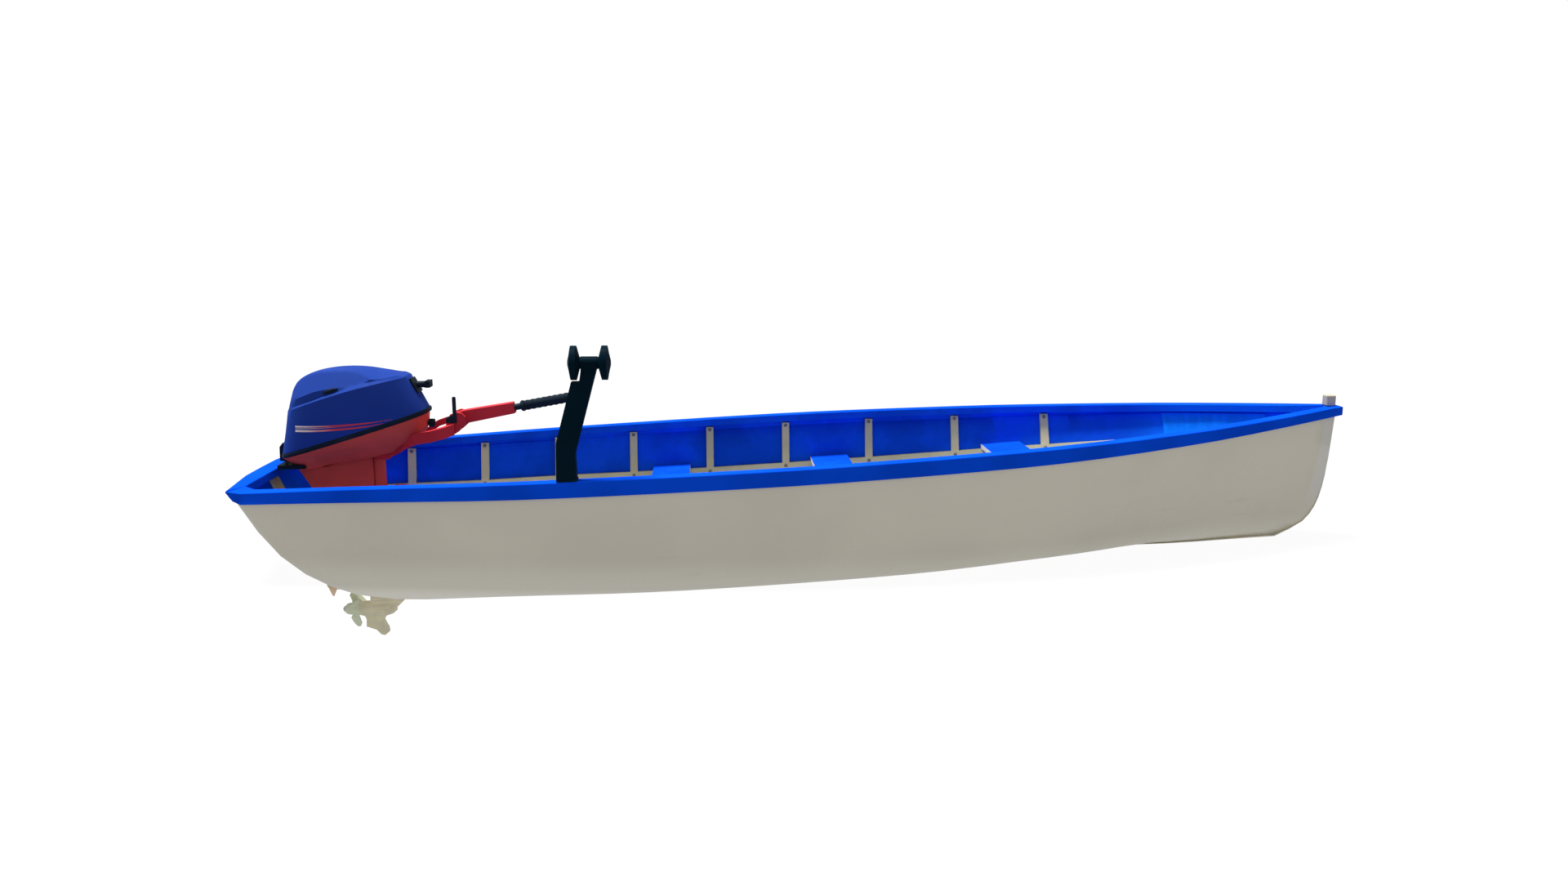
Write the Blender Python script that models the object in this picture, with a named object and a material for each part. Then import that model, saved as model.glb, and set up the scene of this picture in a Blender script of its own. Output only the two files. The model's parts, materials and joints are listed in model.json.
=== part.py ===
"""Open fibreglass skiff with a tiller outboard motor and a line roller on its starboard gunwale.

Metres, +X to the bow, +Y to port, +Z up. The origin is on the centreline at the waterline,
halfway between the stern corners and the bow tip. Run it with blender --background --python part.py.
"""
import math

import bpy
import bmesh
from mathutils import Matrix, Vector

# Hull, driving dimensions
LENGTH = 4.62                   # stern corner of the gunwale to the bow tip
X_STERN = -2.252                # stern corner of the gunwale
RAIL_STATIONS = (0, .08, .25, .45, .65, .82, .93, 1)
RAIL_HALF_BEAM = (.521, .563, .663, .700, .621, .423, .207, .041)
RAIL_TOP_STATIONS = (0, .25, .5, .75, 1)
RAIL_TOP = (.367, .420, .476, .530, .590)
RAIL_WIDTH = .060
RAIL_DEPTH_STATIONS = (0, .3, .6, 1)
RAIL_DEPTH = (.045, .060, .060, .036)
RAIL_INNER_DEPTH = .032
RAIL_LIP = .0195                # width of the deep outer part of the gunwale, over the skin
STERN_LIP = .56                 # the same at the stern, as a share of the gunwale's width
STERN_SLANT = .32               # how far the stern gunwale's outer face leans in, as a share of its width
RAIL_OVERHANG = .008            # gunwale past the hull side
SKIN = .012
GAP = .0003                     # between pieces that touch

# Hull sections: keel height, and half-breadths and heights of the section's three inner control
# points, as shares of the half-beam and of the depth, from the stern to the bow
SECTION_STATIONS = (0, .25, .5, .7, .85, .95, 1)
KEEL_Z = (-.155, -.110, -.064, -.041, -.030, -.012, -.004)
FLOOR_Y = (.50, .50, .48, .40, .26, .20, .20)
FLOOR_Z = (.03, .04, .05, .06, .07, .08, .10)
BILGE_Y = (.88, .88, .85, .71, .44, .31, .30)
BILGE_Z = (.10, .11, .13, .17, .22, .26, .30)
SIDE_Y = (.980, .974, .954, .861, .677, .512, .487)
SIDE_Z = (.52, .52, .52, .54, .58, .62, .65)
LEVELS = (0, .2, .4, .6, .8, 1)     # girth from keel to gunwale
STERN_X = (-1.420, -1.700, -1.893, -2.056, -2.214, -2.334)
CORNER_LENGTH = (.30, .34, .30, .26, .20, .12)
STEM_X = (2.114, 2.237, 2.287, 2.315, 2.332, 2.339)
CORNER_POWER = 3.0
STEM_SOLID = .070               # solid stem ahead of the hollow
BOW_MEET = .008                 # half of the space where the two gunwales meet
STATION_COUNT = 26
LEVEL_COUNT = 10
CORNER_STEPS = 6

# Stern gunwale, half of its outline
STERN_RAIL_OUTER = ((-2.362, 0), (-2.360, .17), (-2.320, .488))
STERN_RAIL_INNER = ((-2.279, 0), (-2.278, .17), (-2.276, .390))
SIDE_RAIL_INNER_START = (-2.217, .452)

# Motor well
WELL_FRONT = -1.784
WELL_HALF_WIDTH = .2195
WELL_WALL = .012
WELL_FRONT_WALL = .020
WELL_SLOT_TOP = .215
WELL_SIDE_TOP = .196
WELL_BOARD_TOP = .217
BOARD_THICK = .030
BOARD_HALF = .200
BOARD_FOOT = .020

# Inside the hull
STRAPS_X = (-1.855, -1.520, -1.174, -.815, -.443, -.070, .338, .754, 1.172)
STRAP_WIDTH = .035
FRAME_THICK = .014
STRAP_TOP_DROP = .044           # below the gunwale's top
STRINGER_X = (-2.12, -1.855, -1.520, -1.174, -.815, -.443, -.070, .338, .754, 1.172, 1.684)
STRINGER_TOP = (.174, .178, .180, .188, .196, .210, .229, .258, .296, .341, .402)
STRINGER_HEIGHT = .032
THWARTS_X = (-.629, .141, .967)
THWART_LENGTH = .178
THWART_THICK = .022
LINING_X = (1.690, 2.100)
LINING_LOW = .250
LINING_THICK = .008
SOLE_Z = -.030                  # underside of the sole at mid-length
SOLE_SLOPE = .018
SOLE_THICK = .012
SOLE_ENDS = (-1.60, 1.15)
SOLE_HALF = .45
FLOORS_X = (-1.30, -.75, -.20, .35, .90)
FLOOR_THICK = .030
FLOOR_REACH = .43
KEELSON_HALF = .020
STERN_STRAP_HALF = .040
STERN_STRAP_Z = (.250, .318)
KEEL_BAND_HALF = .014
KEEL_BAND_THICK = .004
STEM_HEAD = ((2.302, -.022), (2.345, .022))
STEM_HEAD_TOP = .638

# Roller post
POST_X = (-1.022, -.944)
POST_Y = (-.665, -.622)
POST_BEND_Z = (.572, .532)      # where the aft and fore edges start to lean
POST_LEAN_X = (-1.019, -.948)
POST_SHOULDER = (-.955, .8055)
POST_FORE_TOP = (-.861, .846)
POST_NECK = (-.918, .846)
POST_NECK_FOOT = -.9245
CLAMP_PLATE = .006
CLAMP_TAB_DROP = .060
ROLLER_CENTRE = (-.887, -.6435, .876)
HOUSING_HALF = .031
HOUSING_R = .0245
ROLLER_SHAFT_R = .009
RUNNING_GAP = .0005
DISC_R = .065
DISC_HUB = .045                 # thickness at the middle
DISC_RIM = .021

# Motor: heights and places along the boat are in the boat's frame
STEER_X = -1.862
STEER_TUBE = (.028, .037, .400)     # radius, foot, top
TILT = (-1.790, .253)
TILT_TUBE_R = .012
TILT_BARREL_R = .017
CLAMP_ARM_Y = (.052, .066)
CLAMP_SCREW_Z = .150
SEAM = ((-2.244, .425), (-1.634, .610))     # aft and fore ends of the cowl's seam
SEAL_HALF = .010
SEAL_PROUD = .003
COWL_WALL = .005
# Rings from the seam up: aft x and z, fore x and z, half-width, arch of the ring, depth of its groove
COWL_RINGS = (
    (-2.242, .4357, -1.640, .6183, .172, 0, 0),
    (-2.224, .5200, -1.670, .6760, .173, .006, 0),
    (-2.208, .6110, -1.711, .7545, .171, .016, 0),
    (-2.206, .6180, -1.715, .7585, .169, .016, 0),
    (-2.202, .6300, -1.719, .7600, .160, .017, .008),
    (-2.198, .6450, -1.722, .7610, .158, .018, .014),
    (-2.192, .6640, -1.726, .7620, .156, .021, .003),
    (-2.176, .7120, -1.733, .7635, .146, .015, 0),
    (-2.146, .7520, -1.745, .7655, .122, .017, 0),
    (-2.100, .7750, -1.762, .7680, .090, .016, 0),
    (-2.030, .7880, -1.800, .7760, .050, .009, 0),
)
GROOVE_X = (-2.200, -1.900)
OVAL_AFT_POWER = 3.2
OVAL_FORE_POWER = 2.6
PAN_FOOT = (-2.193, .3535, -1.8665, .4080, .064)
PAN_RINGS = (
    PAN_FOOT,
    (-2.203, .3720, -1.750, .4400, .088),
    (-2.215, .3960, -1.672, .4870, .135),
    (-2.230, .4060, -1.645, .5420, .164),
    (-2.242, .4155, -1.640, .5981, .170),
)
LEG_RINGS = (
    (-2.066, -.1480, -1.880, -.1480, .036),
    (-2.078, -.0530, -1.875, -.0530, .040),
    (-2.086, .0320, -1.8665, .0320, .042),
    (-2.104, .1670, -1.8665, .1670, .048),
    (-2.150, .2830, -1.8665, .2830, .058),
    (-2.1925, .3531, -1.8667, .4076, .064),
)
LEG_HOLLOW_R = .0335            # the leg's front wraps round the steering tube
YOKE_DROP = .050
STRUT_RINGS = (
    (-1.970, -.3000, -1.864, -.3000, .014),
    (-1.968, -.2620, -1.812, -.2620, .022),
    (-1.934, -.2360, -1.786, -.2360, .025),
    (-1.932, -.1780, -1.800, -.1780, .028),
    (-2.058, -.1680, -1.872, -.1680, .034),
    (-2.066, -.1483, -1.880, -.1483, .036),
)
POWERHEAD = ((-2.132, .4492), (-1.752, .5644), (-1.752, .700), (-2.092, .700), (-2.132, .650))
POWERHEAD_HALF = .100
PROP_AXIS_Z = -.273
GEARCASE = ((-1.975, .030), (-1.960, .034), (-1.868, .034), (-1.838, .024), (-1.822, .010))
PLATE_Z = (-.169, -.159)
PLATE_HALF = ((-2.114, .008), (-2.070, .014), (-2.058, .050), (-1.950, .076), (-1.850, .050), (-1.797, .018))
SKEG = ((-1.968, -.290), (-1.860, -.290), (-1.8734, -.3133), (-1.8779, -.3237), (-1.8602, -.3606),
        (-1.8588, -.3783), (-1.8786, -.3960), (-1.8954, -.3922), (-1.9145, -.3700), (-1.9574, -.3548),
        (-1.9554, -.3221))
SKEG_HALF = .006
TRIM_TAB = ((-2.113, -.1693), (-2.076, -.1693), (-2.076, -.184), (-2.090, -.2160), (-2.097, -.2080))
PROP_HUB = ((-2.037, .022), (-2.025, .026), (-1.980, .029), (-1.9755, .029))
PROP_MIDDLE = -2.001
PROP_R = .080
PROP_CHORDS = ((0, .032), (.3, .048), (.6, .084), (.85, .076), (1, .034))   # share of the blade, chord
PROP_PITCH = .40
PROP_BLADES = 3
PROP_TURN = .54                 # place of the first blade, as a share of the step between blades
PROP_NUT = ((-2.053, .006), (-2.048, .012), (-2.0373, .017))
LATCH = ((-2.270, .3935), (-2.2462, .3935), (-2.2462, .452), (-2.2445, .466), (-2.254, .473), (-2.268, .455))
LATCH_HALF = .022
CARRY_X = (-2.254, -2.142)
CARRY_Z = (.373, .3912)
CARRY_HALF = .100
STARTER_PLACE = (-1.6895, 0, .714)
STARTER_TILT = math.radians(27.6)   # the cowl's front face leans back by this
STARTER_HALF = (.006, .040, .034)
HANDLE_RISE = math.radians(6)
HANDLE_STEM = (.011, .032)          # radius, length
HANDLE_BAR = (.0150, .036)          # radius, half-length
NECK = ((-1.8660, .4005), (-1.810, .4005), (-1.786, .416), (-1.760, .427), (-1.734, .462), (-1.750, .475),
        (-1.8660, .430))
NECK_HALF = .045
NECK_DISC_R = .030
# Middle line and half-height of each steering arm; the port one is slimmer and rises more
STARBOARD_ARM = ((-1.775, -.040, .452, .024), (-1.730, -.075, .475, .024), (-1.680, -.093, .497, .024),
                 (-1.620, -.095, .506, .024), (-1.565, -.080, .519, .024), (-1.530, -.056, .530, .024))
PORT_ARM = ((-1.775, .040, .452, .024), (-1.730, .078, .456, .017), (-1.680, .098, .492, .014),
            (-1.620, .095, .534, .014), (-1.565, .080, .553, .014), (-1.530, .056, .566, .018))
ARM_HALF_WIDTH = .015
EAR = ((-1.572, .507), (-1.537, .500), (-1.505, .520), (-1.483, .540), (-1.475, .560), (-1.477, .582),
       (-1.490, .597), (-1.515, .602), (-1.540, .592), (-1.556, .556))
EAR_Y = (.040, .056)
EAR_BAR = ((-1.572, -.056, .507), (-1.534, .056, .531))
TILLER_HINGE = (-1.517, .5715)
TILLER_PIN_R = .006
TILLER_RISE = math.radians(10)
TILLER_ROOT_R = .025
TILLER_ARM = (.2452, .028, .0238, .024)     # length from the hinge, half-heights at both ends, half-width
TILLER_NECK = (.2455, .2720, .014)
TILLER_GRIP = (.2723, .518, .0225)
GRIP_RIDGES = 9
SHIFT_LEVER = ((-1.5565, .5565), (-1.5112, .5565), (-1.5112, .666), (-1.516, .6705), (-1.5271, .668),
               (-1.5271, .592), (-1.5565, .578))
LEVER_Y = (-.0620, -.0563)
KNOB_Z = .550
KNOB = ((-1.680, .006), (-1.640, .006), (-1.6395, .018), (-1.617, .018))

MATERIALS = {
    "hull_white": ((.62, .61, .55), .35, 0),
    "rail_blue": ((.01, .15, .85), .35, 0),
    "inner_blue": ((.01, .10, .60), .45, 0),
    "frame_grey": ((.42, .40, .34), .60, 0),
    "motor_blue": ((.03, .08, .45), .25, 0),
    "motor_red": ((.55, .03, .04), .35, 0),
    "black_plastic": ((.010, .016, .022), .50, 0),
    "post_black": ((.008, .018, .030), .45, 0),
    "wood": ((.35, .23, .13), .60, 0),
    "steel": ((.55, .55, .55), .30, 1),
    "alloy_pale": ((.55, .56, .50), .35, .5),
}


def clear_scene():
    for obj in list(bpy.context.scene.objects):
        bpy.data.objects.remove(obj, do_unlink=True)


def material_for(name, finish):
    colour, roughness, metallic = MATERIALS[finish]
    mat = bpy.data.materials.new(name + "_" + finish)
    mat.use_nodes = True
    shader = mat.node_tree.nodes["Principled BSDF"]
    shader.inputs["Base Color"].default_value = (*colour, 1)
    shader.inputs["Roughness"].default_value = roughness
    shader.inputs["Metallic"].default_value = metallic
    return mat


def add_object(name, bm, finish, parent=None):
    """Turn a closed bmesh in world coordinates into an object, with its origin on its parent."""
    bmesh.ops.recalc_face_normals(bm, faces=bm.faces)
    mesh = bpy.data.meshes.new(name)
    if parent is not None:
        bm.transform(Matrix.Translation(-parent.location))
    bm.to_mesh(mesh)
    bm.free()
    mesh.shade_smooth()
    mesh.set_sharp_from_angle(angle=math.radians(35))
    obj = bpy.data.objects.new(name, mesh)
    bpy.context.scene.collection.objects.link(obj)
    obj.parent = parent
    if finish is not None:
        mesh.materials.append(material_for(name, finish))
    return obj


def add_cutter(name, bm, parent=None):
    obj = add_object(name, bm, None, parent)
    obj.hide_render = True
    obj.display_type = "WIRE"
    return obj


def combine(obj, cutter, operation):
    """Keep a Boolean with the exact solver on the object."""
    mod = obj.modifiers.new(operation.title() + "_" + cutter.name, "BOOLEAN")
    mod.operation = operation
    mod.solver = "EXACT"
    mod.object = cutter
    return mod


def add_bevel(obj, width, segments=1, angle=40):
    mod = obj.modifiers.new("Bevel", "BEVEL")
    mod.width = width
    mod.segments = segments
    mod.limit_method = "ANGLE"
    mod.angle_limit = math.radians(angle)
    return mod


def joint_empty(name, place):
    empty = bpy.data.objects.new(name, None)
    empty.location = Vector(place)
    empty.empty_display_size = .05
    bpy.context.scene.collection.objects.link(empty)
    return empty


def loft(rings):
    """Closed body through rings of equal point count."""
    bm = bmesh.new()
    rows = [[bm.verts.new(point) for point in ring] for ring in rings]
    count = len(rows[0])
    for low, high in zip(rows, rows[1:]):
        for k in range(count):
            nxt = (k + 1) % count
            bm.faces.new((low[k], low[nxt], high[nxt], high[k]))
    bm.faces.new(list(reversed(rows[0])))
    bm.faces.new(rows[-1])
    return bm


def prism(outline, low, high, axis="Y"):
    """Extrude a flat outline between two places along an axis."""
    def place(a, b, depth):
        if axis == "Y":
            return (a, depth, b)
        if axis == "X":
            return (depth, a, b)
        return (a, b, depth)
    return loft([[place(a, b, low) for a, b in outline], [place(a, b, high) for a, b in outline]])


def box(low, high):
    outline = ((low[0], low[1]), (high[0], low[1]), (high[0], high[1]), (low[0], high[1]))
    return prism(outline, low[2], high[2], "Z")


def turned(profile, centre, axis="X", steps=24):
    """Turn a list of (place along the axis, radius) about an axis through the centre."""
    rings = []
    for along, radius in profile:
        ring = []
        for k in range(steps):
            angle = 2 * math.pi * k / steps
            a, b = radius * math.cos(angle), radius * math.sin(angle)
            offset = {"X": (along, a, b), "Y": (a, along, b), "Z": (a, b, along)}[axis]
            ring.append(Vector(centre) + Vector(offset))
        rings.append(ring)
    return loft(rings)


def smooth_value(places, values, t):
    """Monotone cubic through the table, so that no bulge comes between its points."""
    steps = [b - a for a, b in zip(places, places[1:])]
    slopes = [(b - a) / h for a, b, h in zip(values, values[1:], steps)]
    tangents = [slopes[0]]
    for k in range(1, len(slopes)):
        if slopes[k - 1] * slopes[k] <= 0:
            tangents.append(0)
        else:
            w1, w2 = 2 * steps[k] + steps[k - 1], steps[k] + 2 * steps[k - 1]
            tangents.append((w1 + w2) / (w1 / slopes[k - 1] + w2 / slopes[k]))
    tangents.append(slopes[-1])
    t = min(max(t, places[0]), places[-1])
    k = 0
    while k < len(steps) - 1 and t > places[k + 1]:
        k += 1
    h = steps[k]
    s = (t - places[k]) / h
    return (values[k] * (1 + 2 * s) * (1 - s) ** 2 + h * tangents[k] * s * (1 - s) ** 2
            + values[k + 1] * s * s * (3 - 2 * s) + h * tangents[k + 1] * s * s * (s - 1))


def straight_value(places, values, t):
    """Value of a line through the table's points, carried on past its ends."""
    k = 0
    while k < len(places) - 2 and t > places[k + 1]:
        k += 1
    share = (t - places[k]) / (places[k + 1] - places[k])
    return values[k] + (values[k + 1] - values[k]) * share


def rail_half_beam(u):
    return smooth_value(RAIL_STATIONS, RAIL_HALF_BEAM, u)


def rail_top(u):
    return smooth_value(RAIL_TOP_STATIONS, RAIL_TOP, u)


def rail_depth(u):
    return smooth_value(RAIL_DEPTH_STATIONS, RAIL_DEPTH, u)


def spline_point(points, t):
    """Clamped quadratic B-spline through five control points in the plane."""
    knots = (0, 0, 0, 1 / 3, 2 / 3, 1, 1, 1)
    t = min(t, 1 - 1e-9)
    span = 2
    while t >= knots[span + 1]:
        span += 1
    d = [points[span - 2 + k] for k in range(3)]
    for r in (1, 2):
        for k in range(2, r - 1, -1):
            a, b = knots[span - 2 + k], knots[span + 1 + k - r]
            share = (t - a) / (b - a)
            d[k] = tuple(p * (1 - share) + q * share for p, q in zip(d[k - 1], d[k]))
    return d[2]


def section_point(u, v):
    """Half-breadth and height of the hull's outer skin."""
    beam = rail_half_beam(u) - RAIL_OVERHANG
    above = u * (STEM_X[-1] - X_STERN) / LENGTH
    top = rail_top(above) - rail_depth(above) - GAP
    keel = smooth_value(SECTION_STATIONS, KEEL_Z, u)
    controls = [(0, keel)]
    for ys, zs in ((FLOOR_Y, FLOOR_Z), (BILGE_Y, BILGE_Z), (SIDE_Y, SIDE_Z)):
        y = beam * smooth_value(SECTION_STATIONS, ys, u)
        z = keel + (top - keel) * smooth_value(SECTION_STATIONS, zs, u)
        controls.append((y, z))
    controls.append((beam, top))
    return spline_point(controls, v)


def hull_point(row, v):
    """Point on the outer skin: negative rows run round the stern corner, others to the bow."""
    aft = smooth_value(LEVELS, STERN_X, v)
    corner = smooth_value(LEVELS, CORNER_LENGTH, v)
    if row <= 0:
        y, z = section_point(0, v)
        angle = math.pi / 2 * (1 + row)
        power = 2 / CORNER_POWER
        x = aft + corner * (1 - max(math.cos(angle), 0) ** power)
        return Vector((x, y * max(math.sin(angle), 0) ** power, z))
    y, z = section_point(row, v)
    x = aft + corner + (smooth_value(LEVELS, STEM_X, v) - aft - corner) * row
    return Vector((x, y, z))


def hull_rows():
    rows = [-1 + k / CORNER_STEPS for k in range(CORNER_STEPS)]
    return rows + [k / STATION_COUNT for k in range(STATION_COUNT + 1)]


def hull_grid(inset):
    """Port half of the hull surface, moved inwards by the inset."""
    rows, levels = hull_rows(), [k / LEVEL_COUNT for k in range(LEVEL_COUNT + 1)]
    grid = [[hull_point(row, v) for v in levels] for row in rows]
    if not inset:
        return grid
    step = .01
    moved = []
    for i, row in enumerate(rows):
        line = []
        for j, v in enumerate(levels):
            a, b = max(row - step, -1), min(row + step, 1)
            c, d = max(v - step, 0), min(v + step, 1)
            along = hull_point(b, v) - hull_point(a, v)
            up = hull_point(row, d) - hull_point(row, c)
            if j == 0:
                along = hull_point(b, .02) - hull_point(a, .02)
            normal = along.cross(up)
            if i == 0:
                normal.y = 0
            normal.normalize()
            if j == 0:
                normal = Vector((normal.x, 0, normal.z)) / max(normal.x ** 2 + normal.z ** 2, .3)
            # the normal points inwards, to the centreline
            point = grid[i][j] + normal * inset
            if i > 0 and j > 0:
                point.y = max(point.y, .003)
            if row == 1:
                point = Vector((grid[i][j].x - STEM_SOLID, 0, grid[i][j].z + inset))
            line.append(point)
        moved.append(line)
    return moved


def hull_volume(inset, raise_top=0):
    """The hull as one closed body, at an inset from its outer skin."""
    grid = hull_grid(inset)
    if raise_top:
        grid = [line + [line[-1] + Vector((0, 0, raise_top))] for line in grid]
    bm = bmesh.new()
    port, starboard = [], []
    for i, line in enumerate(grid):
        port.append([bm.verts.new(p) for p in line])
        mirrored = []
        for j, p in enumerate(line):
            shared = abs(p.y) < 1e-6
            mirrored.append(port[i][j] if shared else bm.verts.new((p.x, -p.y, p.z)))
        starboard.append(mirrored)

    def face(*verts):
        distinct = list(dict.fromkeys(verts))
        if len(distinct) > 2:
            bm.faces.new(distinct)

    for half in (port, starboard):
        for i, (low, high) in enumerate(zip(half, half[1:])):
            for j in range(len(low) - 1):
                if i < len(half) - 2:
                    face(low[j], high[j], high[j + 1])
                    face(low[j], high[j + 1], low[j + 1])
                else:
                    face(low[j], high[j], low[j + 1])
                    face(high[j], high[j + 1], low[j + 1])
    for i in range(len(port) - 1):
        face(port[i][-1], port[i + 1][-1], starboard[i + 1][-1])
        face(port[i][-1], starboard[i + 1][-1], starboard[i][-1])
    for j in range(len(port[-1]) - 1):
        face(port[-1][j], port[-1][j + 1], starboard[-1][j + 1])
        face(port[-1][j], starboard[-1][j + 1], starboard[-1][j])
    return bm


def place_inside(obj, depth=SKIN + GAP):
    """Trim a piece to the inside of the hull."""
    combine(obj, add_cutter(obj.name + "_space", hull_volume(depth, .05)), "INTERSECT")


def keep_lining(obj, thick):
    """Trim a piece to a layer of the given thickness on the inside of the hull."""
    place_inside(obj)
    inner = add_cutter(obj.name + "_core", hull_volume(SKIN + GAP + thick, .08))
    combine(obj, inner, "DIFFERENCE")


def build_hull():
    shell = add_object("hull_shell", hull_volume(0), "hull_white")
    inner = add_cutter("hull_inside", hull_volume(SKIN, .02))
    combine(shell, inner, "DIFFERENCE")
    low, high = (-2.6, -WELL_HALF_WIDTH, -.4), (WELL_FRONT, WELL_HALF_WIDTH, WELL_SLOT_TOP)
    slot = add_cutter("well_slot", box(low, high))
    walls = build_well_walls()
    combine(shell, walls, "UNION")
    combine(shell, slot, "DIFFERENCE")


def build_well_walls():
    """Two sides and a front, which run down into the skin."""
    outer = WELL_HALF_WIDTH + WELL_WALL
    front = WELL_FRONT + WELL_FRONT_WALL
    side = ((-2.60, -.4), (front, -.4), (front, WELL_SIDE_TOP), (WELL_FRONT, WELL_SIDE_TOP),
            (-2.19, WELL_SLOT_TOP), (-2.60, WELL_SLOT_TOP))
    walls = add_cutter("well_walls", prism(side, -outer, outer))
    hollow = add_cutter("well_hollow", box((-2.7, -WELL_HALF_WIDTH, -.5), (WELL_FRONT, WELL_HALF_WIDTH, .5)))
    body = add_cutter("well_limit", hull_volume(SKIN / 2, 0))
    board = add_cutter("well_front", box((WELL_FRONT, -outer, -.3), (front, outer, WELL_BOARD_TOP)))
    combine(walls, hollow, "DIFFERENCE")
    combine(walls, board, "UNION")
    combine(walls, body, "INTERSECT")
    return walls


def rail_sections():
    """Stations of the side gunwale, as (outer line, inner line, top, depth)."""
    stations = []
    count = STATION_COUNT
    for k in range(count + 1):
        u = k / count
        x = X_STERN + LENGTH * u
        y = rail_half_beam(u)
        ahead, behind = min(u + .01, 1), max(u - .01, 0)
        slope = (rail_half_beam(ahead) - rail_half_beam(behind)) / (LENGTH * (ahead - behind))
        inner_x = x + RAIL_WIDTH * slope / math.hypot(1, slope)
        inner_y = y - RAIL_WIDTH / math.hypot(1, slope)
        stations.append(((x, y), (inner_x, inner_y), rail_top(u), rail_depth(u)))
    return stations


def rail_ring(outer, inner, top, depth, side, lip=None, slant=0):
    """Section of a gunwale: deep at its outer lip, shallow inside it."""
    def across(share):
        return (outer[0] + (inner[0] - outer[0]) * share, outer[1] + (inner[1] - outer[1]) * share)
    lip = across(lip or RAIL_LIP / math.dist(outer, inner))
    shallow = top - RAIL_INNER_DEPTH
    corners = ((outer, top), (inner, top), (inner, shallow),
               (lip, shallow), (lip, top - depth), (across(slant), top - depth))
    return [(x, side * y, z) for (x, y), z in corners]


def between(low, high, share):
    """Mix of two stations of the gunwale."""
    def mix(a, b):
        return a + (b - a) * share
    points = [tuple(mix(a, b) for a, b in zip(low[k], high[k])) for k in (0, 1)]
    return (*points, mix(low[2], high[2]), mix(low[3], high[3]))


def build_gunwales():
    """The two side gunwales, and the breasthook that closes them where their inner lines meet."""
    stations = rail_sections()
    last = max(k for k, station in enumerate(stations) if station[1][1] > BOW_MEET)
    here, ahead = stations[last][1][1], stations[last + 1][1][1]
    meet = between(stations[last], stations[last + 1], (here - BOW_MEET) / (here - ahead))
    for name, side in (("gunwale_port", 1), ("gunwale_starboard", -1)):
        top, depth = rail_top(0), rail_depth(0)
        mitre_outer = (STERN_RAIL_OUTER[-1][0], STERN_RAIL_OUTER[-1][1] + GAP)
        mitre_inner = (STERN_RAIL_INNER[-1][0], STERN_RAIL_INNER[-1][1] + GAP)
        rings = [rail_ring(mitre_outer, mitre_inner, top, depth, side, STERN_LIP, STERN_SLANT)]
        rings.append(rail_ring(stations[0][0], SIDE_RAIL_INNER_START, top, depth, side))
        for outer, inner, top, depth in stations[1:last + 1] + [meet]:
            rings.append(rail_ring(outer, inner, top, depth, side))
        add_object(name, loft(rings), "rail_blue")
    outline = [(meet[1], meet), (meet[0], meet)]
    outline += [(station[0], station) for station in stations[last + 1:]]
    half = [(x + GAP, y, station[2], station[3]) for (x, y), station in outline]
    whole = [(x, -y, top, depth) for x, y, top, depth in half] + half[::-1]
    low = [(x, y, top - depth) for x, y, top, depth in whole]
    high = [(x, y, top) for x, y, top, depth in whole]
    add_object("breasthook", loft([low, high]), "rail_blue")
    (aft, starboard), (fore, port) = STEM_HEAD
    foot = rail_top((fore - X_STERN) / LENGTH) + GAP
    head = add_object("stem_head", box((aft, starboard, foot), (fore, port, STEM_HEAD_TOP)), "frame_grey")
    add_bevel(head, .004)


def build_stern_gunwale():
    top, depth = rail_top(0), rail_depth(0)
    pairs = list(zip(STERN_RAIL_OUTER, STERN_RAIL_INNER))
    shape = (top, depth)
    rings = [rail_ring(outer, inner, *shape, -1, STERN_LIP, STERN_SLANT) for outer, inner in reversed(pairs)]
    rings += [rail_ring(outer, inner, *shape, 1, STERN_LIP, STERN_SLANT) for outer, inner in pairs[1:]]
    add_object("gunwale_stern", loft(rings), "rail_blue")


def build_keel_band():
    """A band under the keel and up the stem, on the faceted line of the hull."""
    line = [hull_point(row, 0) for row in hull_rows()]
    line += [hull_point(1, k / LEVEL_COUNT) for k in range(1, LEVEL_COUNT + 1)]
    for point in line:
        point.y = 0
    rings = []
    for k, point in enumerate(line):
        ahead, behind = line[min(k + 1, len(line) - 1)], line[max(k - 1, 0)]
        along = (ahead - behind).normalized()
        out = Vector((along.z, 0, -along.x))
        inner, outer = point + out * 2 * GAP, point + out * KEEL_BAND_THICK
        half = Vector((0, KEEL_BAND_HALF, 0))
        rings.append([inner - half, inner + half, outer + half * .6, outer - half * .6])
    add_object("keel_band", loft(rings), "hull_white")


def stringer_top(x):
    return straight_value(STRINGER_X, STRINGER_TOP, x)


def build_side_frames():
    """On each side a stringer with its straps, as one layer on the skin."""
    outline = [(x, z - STRINGER_HEIGHT) for x, z in zip(STRINGER_X, STRINGER_TOP)]
    upper = [(STRINGER_X[0], STRINGER_TOP[0])]
    for x in STRAPS_X:
        top = rail_top((x - X_STERN) / LENGTH) - STRAP_TOP_DROP
        aft, fore = x - STRAP_WIDTH / 2, x + STRAP_WIDTH / 2
        upper += [(aft, stringer_top(aft)), (aft, top), (fore, top), (fore, stringer_top(fore))]
    upper.append((STRINGER_X[-1], STRINGER_TOP[-1]))
    outline += upper[::-1]
    for name, low, high in (("side_frame_port", .15, .80), ("side_frame_starboard", -.80, -.15)):
        frame = add_object(name, prism(outline, low, high), "frame_grey")
        keep_lining(frame, FRAME_THICK)


def build_stern_strap():
    low, high = STERN_STRAP_Z
    body = box((-2.36, -STERN_STRAP_HALF, low), (-2.10, STERN_STRAP_HALF, high))
    keep_lining(add_object("stern_strap", body, "frame_grey"), FRAME_THICK)


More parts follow.
